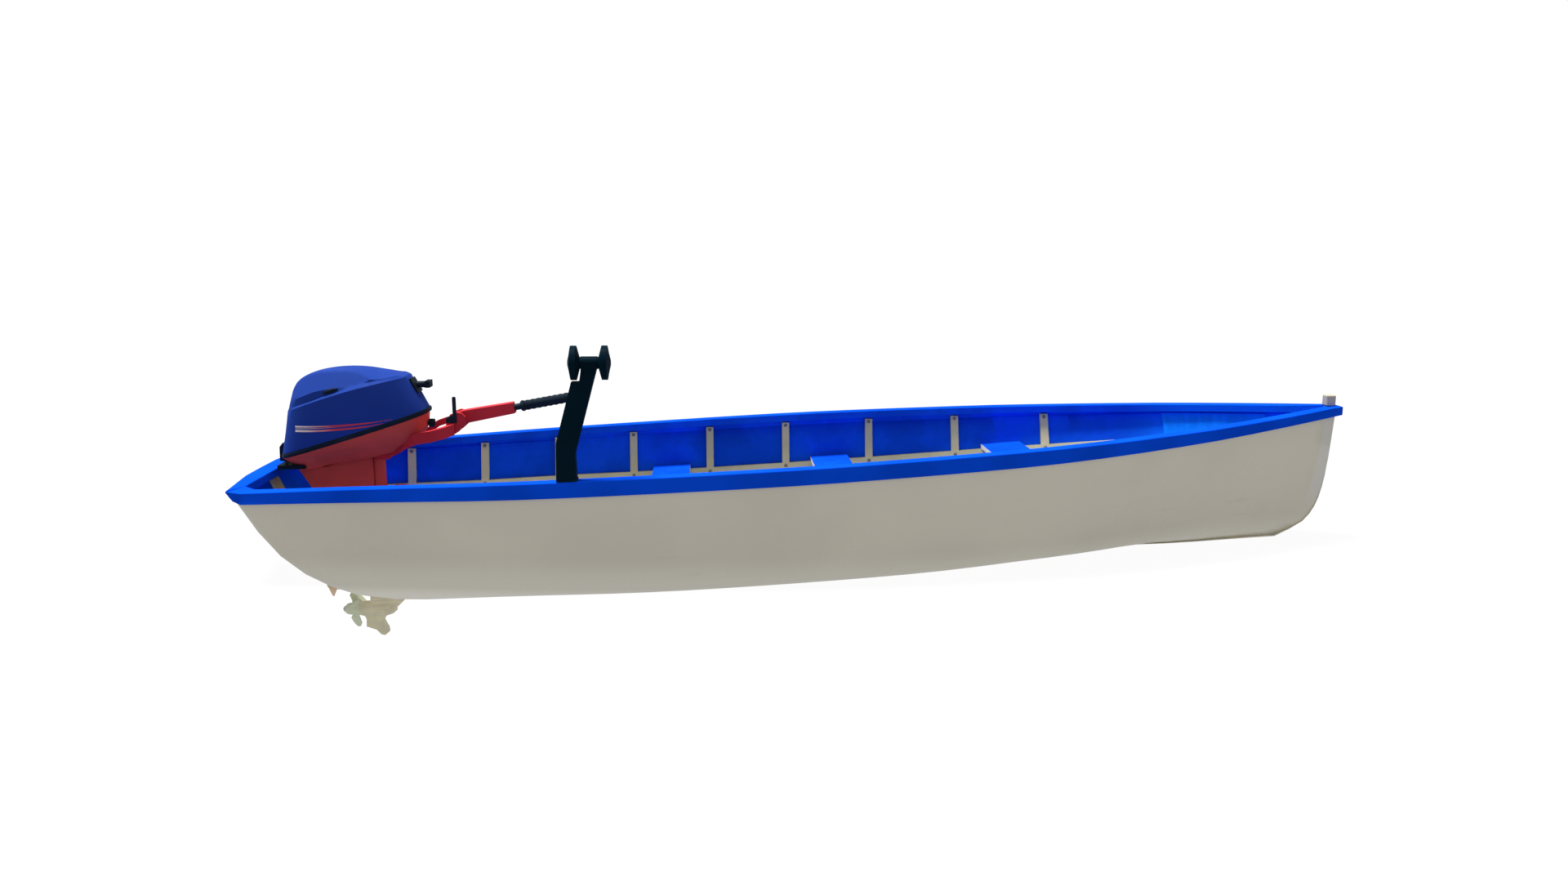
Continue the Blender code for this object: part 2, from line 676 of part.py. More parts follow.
def build_thwarts():
    """Three seats that rest on the stringers, trimmed to the skin."""
    for name, middle in zip(("thwart_aft", "thwart_middle", "thwart_fore"), THWARTS_X):
        ends = (middle - THWART_LENGTH / 2, middle + THWART_LENGTH / 2)
        outline = [(x, stringer_top(x) + GAP) for x in ends]
        outline += [(x, stringer_top(x) + GAP + THWART_THICK) for x in reversed(ends)]
        thwart = add_object(name, prism(outline, -.80, .80), "inner_blue")
        place_inside(thwart)


def build_bow_lining():
    aft, fore = LINING_X
    for name, low, high in (("bow_lining_port", .004, .6), ("bow_lining_starboard", -.6, -.004)):
        top = [rail_top((x - X_STERN) / LENGTH) - STRAP_TOP_DROP for x in LINING_X]
        outline = ((aft, LINING_LOW), (fore, LINING_LOW + .10), (fore, top[1]), (aft, top[0]))
        lining = add_object(name, prism(outline, low, high), "inner_blue")
        keep_lining(lining, LINING_THICK)


def sole_height(x):
    return SOLE_Z + SOLE_SLOPE * x


def build_floor():
    """Keelson with its cross floors in one piece, and the sole on it."""
    half = [(SOLE_ENDS[0], KEELSON_HALF)]
    for x in FLOORS_X:
        aft, fore = x - FLOOR_THICK / 2, x + FLOOR_THICK / 2
        half += [(aft, KEELSON_HALF), (aft, FLOOR_REACH), (fore, FLOOR_REACH), (fore, KEELSON_HALF)]
    half.append((SOLE_ENDS[1], KEELSON_HALF))
    whole = half + [(x, -y) for x, y in reversed(half)]
    low = [(x, y, -.20) for x, y in whole]
    high = [(x, y, sole_height(x) - GAP) for x, y in whole]
    frame = add_object("floor_frame", loft([low, high]), "frame_grey")
    place_inside(frame)
    outline = [(x, sole_height(x)) for x in SOLE_ENDS]
    outline += [(x, sole_height(x) + SOLE_THICK) for x in reversed(SOLE_ENDS)]
    sole = add_object("sole", prism(outline, -SOLE_HALF, SOLE_HALF), "hull_white")
    place_inside(sole)


def build_motor_board():
    aft = WELL_FRONT + WELL_FRONT_WALL + GAP
    low, high = (aft, -BOARD_HALF, BOARD_FOOT), (aft + BOARD_THICK, BOARD_HALF, WELL_BOARD_TOP)
    add_bevel(add_object("motor_board", box(low, high), "wood"), .003)


def build_roller_post():
    """Bent post on a clamp plate, with the bearing housing of the roller's shaft at its head."""
    us = [(x - X_STERN) / LENGTH for x in POST_X]
    tops = [rail_top(u) for u in us]
    outers = [-rail_half_beam(u) + .001 for u in us]
    inners = [y + RAIL_WIDTH for y in outers]
    rings = []
    for x, top, outer, inner in zip(POST_X, tops, outers, inners):
        low, high, tab = top + .0006, top + CLAMP_PLATE, inner + .0006
        rings.append([(x, outer, low), (x, tab, low), (x, tab, top - CLAMP_TAB_DROP),
                      (x, tab + CLAMP_PLATE, top - CLAMP_TAB_DROP), (x, tab + CLAMP_PLATE, high),
                      (x, outer, high)])
    add_object("post_clamp", loft(rings), "post_black")
    feet = [top + CLAMP_PLATE + GAP for top in tops]
    x, y, z = ROLLER_CENTRE
    aft, fore = x - HOUSING_HALF, x + HOUSING_HALF
    outline = ((POST_X[0], feet[0]), (POST_X[1], feet[1]), (POST_LEAN_X[1], POST_BEND_Z[1]), POST_FORE_TOP,
               (fore, z), (aft, z), POST_NECK, (POST_NECK_FOOT, POST_SHOULDER[1]), POST_SHOULDER,
               (POST_LEAN_X[0], POST_BEND_Z[0]))
    post = add_object("roller_post", prism(outline, *POST_Y), "post_black")
    housing = turned(((-HOUSING_HALF, HOUSING_R), (HOUSING_HALF, HOUSING_R)), ROLLER_CENTRE)
    combine(post, add_cutter("roller_housing", housing), "UNION")
    reach = HOUSING_HALF + .01
    bore_r = ROLLER_SHAFT_R + RUNNING_GAP
    bore = turned(((-reach, bore_r), (reach, bore_r)), ROLLER_CENTRE)
    combine(post, add_cutter("roller_bore", bore), "DIFFERENCE")


def build_roller():
    """Shaft and its two lens-shaped discs, which turn together."""
    axis = joint_empty("roller_axis", ROLLER_CENTRE)
    inner = HOUSING_HALF + .0015
    hub = inner + .003
    shaft = turned(((-inner + GAP, ROLLER_SHAFT_R), (inner - GAP, ROLLER_SHAFT_R)), ROLLER_CENTRE)
    add_object("roller_shaft", shaft, "steel", axis)
    rim_in = hub + (DISC_HUB - DISC_RIM) / 2
    profile = ((inner, .0225), (hub, .0225), (rim_in, DISC_R), (rim_in + DISC_RIM, DISC_R),
               (rim_in + DISC_RIM + .006, DISC_R * .55), (hub + DISC_HUB, .012))
    for name, side in (("roller_disc_fore", 1), ("roller_disc_aft", -1)):
        add_object(name, turned([(side * a, r) for a, r in profile], ROLLER_CENTRE), "post_black", axis)


def oval_ring(aft, aft_z, fore, fore_z, half, arch=0, groove=0, grow=0, count=28):
    """Ring of a cowling: widest a little aft of its middle, on a plane that rises forwards.

    An arched ring is higher at its middle, and a groove draws its aft flanks in.
    """
    aft, fore, half = aft - grow, fore + grow, half + grow
    widest = aft + (fore - aft) * .45
    ring = []
    for k in range(count):
        angle = 2 * math.pi * (k + .5) / count
        c, s = math.cos(angle), math.sin(angle)
        power = 2 / (OVAL_FORE_POWER if c > 0 else OVAL_AFT_POWER)
        length = fore - widest if c > 0 else widest - aft
        x = widest + length * math.copysign(abs(c) ** power, c)
        share = (x - aft) / (fore - aft)
        along = min(max((x - GROOVE_X[0]) / (GROOVE_X[1] - GROOVE_X[0]), 0), 1)
        y = half * math.copysign(abs(s) ** power, s)
        y -= math.copysign(groove * abs(s) * math.sin(math.pi * along), s)
        ring.append(Vector((x, y, aft_z + (fore_z - aft_z) * share + 4 * arch * share * (1 - share))))
    return ring


def cowling(rings, grow=0, **shape):
    return loft([oval_ring(*ring, grow=grow, **shape) for ring in rings])


def clear_of(obj, name, bm):
    """Cut a neighbour, grown by the gap, out of a piece."""
    combine(obj, add_cutter(obj.name + "_clear_" + name, bm), "DIFFERENCE")


def build_cowling(axis):
    cowl = add_object("cowl", cowling(COWL_RINGS), "motor_blue", axis)
    first = COWL_RINGS[0]
    below = (first[0], first[1] - .02, first[2], first[3] - .02, first[4])
    hollow = [oval_ring(*below, grow=-COWL_WALL)]
    for ring in COWL_RINGS:
        hollow.append([p - Vector((0, 0, COWL_WALL)) for p in oval_ring(*ring, grow=-COWL_WALL)])
    combine(cowl, add_cutter("cowl_inside", loft(hollow), axis), "DIFFERENCE")
    (aft, aft_z), (fore, fore_z) = SEAM
    seal_rings = []
    for shift, grow in ((-SEAL_HALF + GAP, 0), (0, SEAL_PROUD), (SEAL_HALF - GAP, 0)):
        seal_rings.append((aft - grow, aft_z + shift, fore + grow, fore_z + shift, .171 + grow))
    seal = add_object("cowl_seal", cowling(seal_rings), "black_plastic", axis)
    core = [(aft + .012, aft_z + z, fore - .012, fore_z + z, .159) for z in (-.05, .05)]
    combine(seal, add_cutter("seal_inside", cowling(core), axis), "DIFFERENCE")
    add_object("lower_cowling", cowling(PAN_RINGS), "motor_red", axis)
    add_object("powerhead", prism(POWERHEAD, -POWERHEAD_HALF, POWERHEAD_HALF), "steel", axis)
    add_object("aft_latch", prism(LATCH, -LATCH_HALF, LATCH_HALF), "black_plastic", axis)
    low, high = (CARRY_X[0], -CARRY_HALF, CARRY_Z[0]), (CARRY_X[1], CARRY_HALF, CARRY_Z[1])
    carry = add_object("carry_handle", box(low, high), "black_plastic", axis)
    lowered = [(a, a_z - 2 * GAP, f, f_z - 2 * GAP, half) for a, a_z, f, f_z, half in PAN_RINGS]
    clear_of(carry, "pan", cowling(lowered, grow=2 * GAP))


def build_starter(axis):
    """Plate on the cowl's front face, and the pull handle on it."""
    place = Matrix.Translation(STARTER_PLACE) @ Matrix.Rotation(-STARTER_TILT, 4, "Y")
    a, b, c = STARTER_HALF
    body = box((-a * 3, -b, -c), (a, b, c))
    body.transform(place)
    plate = add_object("starter_plate", body, "black_plastic", axis)
    clear_of(plate, "cowl", cowling(COWL_RINGS, grow=GAP))
    turn = Matrix.Translation(STARTER_PLACE) @ Matrix.Rotation(-HANDLE_RISE, 4, "Y")
    radius, length = HANDLE_STEM
    stem = turned(((-.01, radius), (length + .02, radius)), (0, 0, 0), steps=12)
    stem.transform(turn)
    handle = add_object("starter_handle", stem, "black_plastic", axis)
    radius, half = HANDLE_BAR
    bar = turned(((-half, radius * .8), (-half * .8, radius), (half * .8, radius), (half, radius * .8)),
                 (length + .022, 0, 0), "Y", 15)
    bar.transform(turn)
    combine(handle, add_cutter("handle_bar", bar, axis), "UNION")
    front = box((-a * 4, -b, -c), (a + GAP, b, c))
    front.transform(place)
    clear_of(handle, "plate", front)


def build_leg(axis):
    leg = add_object("midsection", cowling(LEG_RINGS, count=20), "motor_red", axis)
    radius, foot, top = STEER_TUBE
    yoke = turned(((foot - YOKE_DROP, radius * .8), (foot - YOKE_DROP * .7, radius), (foot - .0005, radius)),
                  (STEER_X, 0, 0), "Z", 20)
    combine(leg, add_cutter("leg_yoke", yoke, axis), "UNION")
    bridge = box((-1.92, -radius * .9, foot - YOKE_DROP * .7), (STEER_X, radius * .9, foot - .0005))
    combine(leg, add_cutter("leg_bridge", bridge, axis), "UNION")
    wrap = turned(((foot - .0005, LEG_HOLLOW_R), (top + .05, LEG_HOLLOW_R)), (STEER_X, 0, 0), "Z", 20)
    combine(leg, add_cutter("leg_hollow", wrap, axis), "DIFFERENCE")

    lower = add_object("lower_unit", cowling(STRUT_RINGS, count=20), "alloy_pale", axis)
    case = turned(GEARCASE, (0, 0, PROP_AXIS_Z), steps=20)
    combine(lower, add_cutter("gearcase", case, axis), "UNION")
    plan = [(x, -y) for x, y in PLATE_HALF] + [(x, y) for x, y in reversed(PLATE_HALF)]
    combine(lower, add_cutter("cavitation_plate", prism(plan, *PLATE_Z, "Z"), axis), "UNION")
    combine(lower, add_cutter("skeg", prism(SKEG, -SKEG_HALF, SKEG_HALF), axis), "UNION")
    add_object("trim_tab", prism(TRIM_TAB, -.004, .004), "motor_red", axis)


def build_propeller():
    """Hub and pitched blades, which turn with the nut."""
    axis = joint_empty("propeller_axis", (PROP_MIDDLE, 0, PROP_AXIS_Z))
    centre = (0, 0, PROP_AXIS_Z)
    propeller = add_object("propeller", turned(PROP_HUB, centre, steps=18), "alloy_pale", axis)
    for number in range(PROP_BLADES):
        blade = propeller_blade()
        blade.transform(Matrix.Translation((PROP_MIDDLE, 0, PROP_AXIS_Z))
                        @ Matrix.Rotation(2 * math.pi * (number + PROP_TURN) / PROP_BLADES, 4, "X"))
        combine(propeller, add_cutter("blade_%d" % number, blade, axis), "UNION")
    add_object("propeller_nut", turned(PROP_NUT, centre, steps=14), "steel", axis)


def propeller_blade():
    rings = []
    for share, chord in PROP_CHORDS:
        radius = .016 + (PROP_R - .016) * share
        thick = .007 - .0045 * share
        pitch = math.atan2(PROP_PITCH, 2 * math.pi * max(radius, .04))
        ring = []
        for k in range(8):
            angle = 2 * math.pi * k / 8
            a, b = chord / 2 * math.cos(angle), thick / 2 * math.sin(angle)
            along = a * math.sin(pitch) + b * math.cos(pitch)
            ring.append((along, a * math.cos(pitch) - b * math.sin(pitch), radius))
        rings.append(ring)
    return loft(rings)


def build_clamp_bracket():
    """Two arms that hook over the well's front and its board, with the tilt tube between them."""
    board_aft, board_fore = WELL_FRONT - .0005, WELL_FRONT + WELL_FRONT_WALL + BOARD_THICK + .0008
    x, z = TILT
    aft, fore, top = x - .022, x + .090, z + TILT_BARREL_R
    hook = WELL_BOARD_TOP + .0005
    outline = ((aft, top), (x + .020, top), (fore, z - .010), (fore, .120), (board_fore, .120),
               (board_fore, hook), (board_aft, hook), (board_aft, .110), (aft, .110))
    near, far = CLAMP_ARM_Y
    bracket = add_object("clamp_bracket", prism(outline, near, far), "motor_red")
    combine(bracket, add_cutter("clamp_arm", prism(outline, -far, -near)), "UNION")
    tube = turned(((-far, TILT_TUBE_R), (far, TILT_TUBE_R)), (x, 0, z), "Y", 16)
    combine(bracket, add_cutter("tilt_tube", tube), "UNION")
    web = box((fore - .020, -near - .002, z - .050), (fore - .002, near + .002, z - .022))
    combine(bracket, add_cutter("clamp_web", web), "UNION")
    middle = (near + far) / 2
    for name, side in (("clamp_screw_port", 1), ("clamp_screw_starboard", -1)):
        place = (fore, side * middle, CLAMP_SCREW_Z)
        screw = turned(((GAP, .008), (.034, .008)), place, "X", 12)
        bar = turned(((-.030, .0055), (.030, .0055)), (fore + .028, side * middle, CLAMP_SCREW_Z), "Z", 10)
        combine(add_object(name, screw, "steel"), add_cutter(name + "_bar", bar), "UNION")


def build_swivel():
    """Steering tube with the barrel that turns on the tilt tube."""
    x, z = TILT
    axis = joint_empty("tilt_axis", (x, 0, z))
    radius, foot, top = STEER_TUBE
    swivel = add_object("swivel_bracket", turned(((foot, radius), (top, radius)), (STEER_X, 0, 0), "Z", 20),
                        "motor_red", axis)
    near = CLAMP_ARM_Y[0]
    barrel = turned(((-near + .002, TILT_BARREL_R), (near - .002, TILT_BARREL_R)), (x, 0, z), "Y", 16)
    combine(swivel, add_cutter("tilt_barrel", barrel, axis), "UNION")
    lug = box((STEER_X, -.014, z - .016), (x, .014, z + .016))
    combine(swivel, add_cutter("swivel_lug", lug, axis), "UNION")
    web = box((STEER_X, -.012, .130), (x - .016, .012, z))
    combine(swivel, add_cutter("swivel_web", web, axis), "UNION")
    bore_r = TILT_TUBE_R + RUNNING_GAP
    bore = turned(((-near, bore_r), (near, bore_r)), (x, 0, z), "Y", 16)
    combine(swivel, add_cutter("tilt_bore", bore, axis), "DIFFERENCE")


def arm_body(path):
    """Upright bar along a path of points, each with its own half-height."""
    rings = []
    for k, (x, y, z, height) in enumerate(path):
        ahead, behind = path[min(k + 1, len(path) - 1)], path[max(k - 1, 0)]
        along = Vector((ahead[0] - behind[0], ahead[1] - behind[1], 0)).normalized()
        across = Vector((-along.y, along.x, 0)) * ARM_HALF_WIDTH
        middle, up = Vector((x, y, z)), Vector((0, 0, height))
        rings.append([middle - across - up, middle + across - up, middle + across + up, middle - across + up])
    return loft(rings)


def build_steering_bracket(axis):
    """Neck on the steering tube, two arms round the pan's front, and the ears of the tiller's hinge."""
    bracket = add_object("steering_bracket", prism(NECK, -NECK_HALF, NECK_HALF), "motor_red", axis)
    head = STEER_TUBE[2] + .0005
    disc = turned(((head, NECK_DISC_R), (head + .02, NECK_DISC_R)), (STEER_X, 0, 0), "Z", 20)
    combine(bracket, add_cutter("neck_disc", disc, axis), "UNION")
    near, far = EAR_Y
    x, z = TILLER_HINGE
    for side, label, path in ((1, "port", PORT_ARM), (-1, "starboard", STARBOARD_ARM)):
        combine(bracket, add_cutter("steer_arm_" + label, arm_body(path), axis), "UNION")
        low, high = sorted((side * near, side * far))
        combine(bracket, add_cutter("hinge_ear_" + label, prism(EAR, low, high), axis), "UNION")
    combine(bracket, add_cutter("ear_bar", box(*EAR_BAR), axis), "UNION")
    pin = turned(((-far, TILLER_PIN_R), (far, TILLER_PIN_R)), (x, 0, z), "Y", 12)
    combine(bracket, add_cutter("tiller_pin", pin, axis), "UNION")
    clear_of(bracket, "pan", cowling(PAN_RINGS, grow=2 * GAP))
    add_object("shift_lever", prism(SHIFT_LEVER, *LEVER_Y), "black_plastic", axis)
    knob = add_object("link_knob", turned(KNOB, (0, 0, KNOB_Z), steps=12), "black_plastic", axis)
    clear_of(knob, "pan", cowling(PAN_RINGS, grow=2 * GAP))


def build_tiller():
    """Arm, neck and grip along the tiller's own line from its hinge."""
    x, z = TILLER_HINGE
    axis = joint_empty("tiller_axis", (x, 0, z))
    place = Matrix.Translation((x, 0, z)) @ Matrix.Rotation(-TILLER_RISE, 4, "Y")
    reach, root_half, end_half, half_width = TILLER_ARM
    outline = []
    for k in range(9):
        angle = math.pi / 2 + math.pi * k / 8
        outline.append((TILLER_ROOT_R * math.cos(angle), TILLER_ROOT_R * math.sin(angle)))
    outline += [(.04, -root_half), (reach, -end_half), (reach, end_half), (.04, root_half)]
    body = prism(outline, -half_width, half_width)
    body.transform(place)
    arm = add_object("tiller_arm", body, "motor_red", axis)
    bore_r = TILLER_PIN_R + RUNNING_GAP
    combine(arm, add_cutter("tiller_bore", turned(((-.05, bore_r), (.05, bore_r)), (x, 0, z), "Y", 12), axis),
            "DIFFERENCE")
    start, end, radius = TILLER_NECK
    neck = turned(((start, radius), (end, radius)), (0, 0, 0), steps=16)
    neck.transform(place)
    add_object("tiller_neck", neck, "black_plastic", axis)
    start, end, radius = TILLER_GRIP
    pitch = (end - start - .03) / GRIP_RIDGES
    profile = [(start, radius * .85), (start + .006, radius * 1.06), (start + .014, radius * 1.06)]
    for k in range(GRIP_RIDGES):
        at = start + .018 + k * pitch
        profile += [(at, radius * .90), (at + pitch * .5, radius)]
    profile += [(end - .006, radius), (end, radius * .7)]
    grip = turned(profile, (0, 0, 0), steps=16)
    grip.transform(place)
    add_object("tiller_grip", grip, "black_plastic", axis)


def build_motor():
    build_clamp_bracket()
    build_swivel()
    steer = joint_empty("steer_axis", (STEER_X, 0, STEER_TUBE[2]))
    build_cowling(steer)
    build_starter(steer)
    build_leg(steer)
    build_steering_bracket(steer)
    build_tiller()
    build_propeller()


def build():
    clear_scene()
    build_hull()
    build_gunwales()
    build_stern_gunwale()
    build_keel_band()
    build_side_frames()
    build_stern_strap()
    build_thwarts()
    build_bow_lining()
    build_floor()
    build_motor_board()
    build_roller_post()
    build_roller()
    build_motor()


build()
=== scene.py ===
"""Looks of the open skiff with its tiller outboard motor and line roller.

Metres, +X to the bow, +Y to port, +Z up, with the waterline at z = 0. Most pieces are welded copies of
their CAD nodes with a finer finish. The cowl, with its air slots and stripes, and the starter handle are
made new from the sizes below, in the places of their nodes. Bolt heads are set on the straps.
"""

import json
import math

import bpy
import bmesh
from mathutils import Matrix, Vector
from mathutils.bvhtree import BVHTree


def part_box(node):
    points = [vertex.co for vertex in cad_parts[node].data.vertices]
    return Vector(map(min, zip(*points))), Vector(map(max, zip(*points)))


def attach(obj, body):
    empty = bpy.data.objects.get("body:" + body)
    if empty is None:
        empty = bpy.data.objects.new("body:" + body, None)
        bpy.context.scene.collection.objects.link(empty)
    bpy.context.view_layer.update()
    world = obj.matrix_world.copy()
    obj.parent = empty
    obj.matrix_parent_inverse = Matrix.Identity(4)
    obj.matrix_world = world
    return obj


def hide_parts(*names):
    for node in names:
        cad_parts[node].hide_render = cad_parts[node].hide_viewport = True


# Camera, from the photograph
CAMERA_PLACE = (-.4247, -5.1218, 1.3833)
CAMERA_YAW = math.radians(3.43)         # from +Y towards +X
CAMERA_PITCH = math.radians(10.267)     # down
LENS, SENSOR = 27.37, 36
CAMERA_REACH = 200

# Light: a strong soft sun over an even sky
SUN_FROM = (-.25, .11, .95)
SUN_STRENGTH = 5.4
SUN_ANGLE = .30
SKY_STRENGTH = .42

# Floor at the waterline and backdrop
FLOOR_RADIUS, BACKDROP_RADIUS = 30, 60
FLOOR_ALPHA = .05
FLOOR_FADE = (3, 14)            # the floor is clear beyond the second distance from the boat's middle

# Colours, linear
OFF_WHITE = (.83, .785, .665)
STEM_WHITE = (.83, .82, .80)
HULL_GRIME = (.62, .58, .46)
# painted light: the colour the hull turns to near the waterline
HULL_LOW_LIGHT = (1, .97, .84)
RAIL_BLUE = (.003, .079, .82)
INNER_BLUE = (.006, .098, .84)
# the lining's blue is partly its paint and partly painted light on the upward-facing bow
LIT_LINING_BLUE = (.006, .23, .93)
STRAP_GREY = (.76, .70, .38)
BOLT_GREY = (.30, .28, .19)
CAP_GREY = (.53, .485, .36)
SOLE_GREY = (.27, .26, .23)
MOTOR_BLUE = (.020, .058, .33)
PAN_RED = (.72, .090, .068)
ARM_RED = (.67, .038, .052)
STRIPE_RED = (.78, .05, .06)
STRIPE_PALE = (.90, .74, .66)
BLACK = (.008, .016, .026)
POST_BLACK = (.002, .014, .026)
WOOD_LIGHT = (.42, .27, .15)
WOOD_DARK = (.20, .115, .06)
STEEL = (.56, .56, .57)
LOWER_UNIT = (.86, .78, .49)
PROPELLER = (.77, .84, .56)
TAB = (.95, .66, .43)
FLOOR_TINT = (.93, .94, .93)
CAST_GREY = (.30, .31, .32)

# Colours of chips in the paint and of stains on the castings, linear
STRAP_CHIPS = (.30, .20, .13)
PAN_CHIPS = (.45, .22, .18)
ARM_CHIPS = (.62, .20, .16)
POST_CHIPS = (.03, .04, .05)
LOWER_UNIT_STAIN = (.60, .56, .36)
PROPELLER_STAIN = (.45, .52, .36)

# Heights between which the hull turns grimy and between which painted light makes it paler towards the
# waterline, and the stretch over which painted light makes the bow's inside paler
GRIME_Z = (.14, -.10)
LOW_LIGHT_Z = (.12, -.02)
BOW_LIGHT_X = (1.45, 1.80)

# Stem line of the hull: its place at the top, its rake down to the waterline and how it curves
STEM_TOP = (2.339, .55)
STEM_RAKE = .225
STEM_POWER = 2.9
STEM_STRIP = (.018, .055)       # width of the paler strip, low and high
STRIP_Z = (.06, .40)            # it widens between these heights
STRIP_FADE_Z = (.08, .25)       # and fades out between these

# The hull's inside: its middle line, which ends this far from x = 0, its rim and its motor well
MIDDLE_REACH, MIDDLE_Z = 1.9, .35
RIM_FACING, RIM_Z = .6, .25     # rim faces look up more than this and lie above this
WELL_HALF, WELL_TOP = .2195, .215
WELL_WALL = .016
WELL_MARGIN = .001
WELL_FACING = .7

# Cowl, as rings from its seam to its crease: aft x and z, fore x and z, half-width, arch
COWL_SIDE = (
    (-2.242, .4357, -1.640, .6183, .172, 0),
    (-2.233, .4780, -1.655, .6470, .1733, .003),
    (-2.224, .5200, -1.670, .6760, .1735, .006),
    (-2.215, .5680, -1.692, .7170, .1727, .011),
    (-2.207, .6140, -1.712, .7560, .171, .016),
)
COWL_CENTRE = -1.97
COWL_WIDEST = .45               # place of the widest point, as a share from aft
OVAL_AFT_POWER, OVAL_FORE_POWER = 3.2, 2.6
COWL_COUNT = 128
COWL_RINGS = 26
# Along the cowl: height of its top, half-width of the flat top, and how much it falls to its edges
TOP_PROFILE = (
    (-2.207, .612), (-2.199, .640), (-2.192, .664), (-2.176, .712), (-2.146, .752), (-2.100, .776),
    (-2.030, .790), (-1.950, .7945), (-1.880, .7915), (-1.800, .779), (-1.762, .770), (-1.712, .757),
)
TOP_HALF = (
    (-2.207, .060), (-2.120, .075), (-2.030, .088), (-1.930, .092), (-1.880, .105), (-1.830, .150),
    (-1.800, .200),
)
TOP_CROWN = (
    (-2.200, .6), (-2.030, .6), (-1.950, .8), (-1.880, 1.3), (-1.830, 1.7), (-1.780, 1.33),
    (-1.740, .45), (-1.700, .3),
)
LEDGE_AFT = (-2.200, -2.080)    # the ledge opens between these, from aft
LEDGE_LIP = .02                 # how far it is set in all round, as a share
LEDGE_DEPTH, LEDGE_POWER = .095, 1.5    # how much further at the sides, and how that grows
LEDGE_RISE, LEDGE_DROP = .012, .009     # height over the crease, and how much less where it is open
LEDGE_SIDE_RISE = .008
TOP_START = .992                # size of the first ring above the ledge
FLANK_SLOPE = 1.15
# black pieces that stand for the shade in the cowl's air inlets
SLOT_PLACE = (-2.000, .1515, .7105)
SLOT_SIZE = (.034, .006, .0085)
CREASE_TILT = math.radians(17)

# Stripes on the cowl's sides: x, z and width at points from aft forwards
STRIPES = (
    ((-2.150, .5640, .0065), (-2.003, .5680, .0050), (-1.834, .5800, .0030), (-1.757, .5890, .0010)),
    ((-2.150, .5555, .0020), (-2.000, .5620, .0025), (-1.870, .5735, .0020), (-1.800, .5835, .0010)),
    ((-2.150, .5460, .0085), (-2.030, .5490, .0080), (-1.885, .5600, .0055), (-1.790, .5740, .0010)),
)
STRIPE_STEPS = 60
STRIPE_PROUD = .0006

# Finish: corners nearer than this are joined, and so are faces that meet as flat as this
WELD_DISTANCE = 1e-5
FLAT_ANGLE = math.radians(.4)
SHARP_ANGLE, HULL_SHARP, COWL_SHARP = 35, 42, 32    # degrees, from which an edge stays sharp

RAIL_FACING = .5                # a rail's top and foot look up and down more than this
RAIL_OVERLAP = .002             # rails reach this far down over the skin's edge
RAIL_ROUND = .005

# Bolts through the straps into the skin
STRAPS_X = (-1.855, -1.520, -1.174, -.815, -.443, -.070, .338, .754, 1.172)
STRAP_REACH = .020              # a strap's corners are nearer to its middle than this
BESIDE_STRAP = .030             # from its middle to where only the stringer is met
PROBE_STEP, PROBE_COUNT = .004, 100     # levels tried there, from the strap's top down
BOLT_DROP = .014                # below the strap's top
BOLT_R, BOLT_PROUD = .0085, .0035

# Starter handle: stem and bar
HANDLE_STEM_X, HANDLE_BAR_X = (-1.684, -1.643), (-1.645, -1.6235)
HANDLE_Z, HANDLE_RISE = .7165, .0025
HANDLE_STEM_R, HANDLE_BAR_HALF = .0140, (.030, .0148)
HANDLE_ROUND = .002

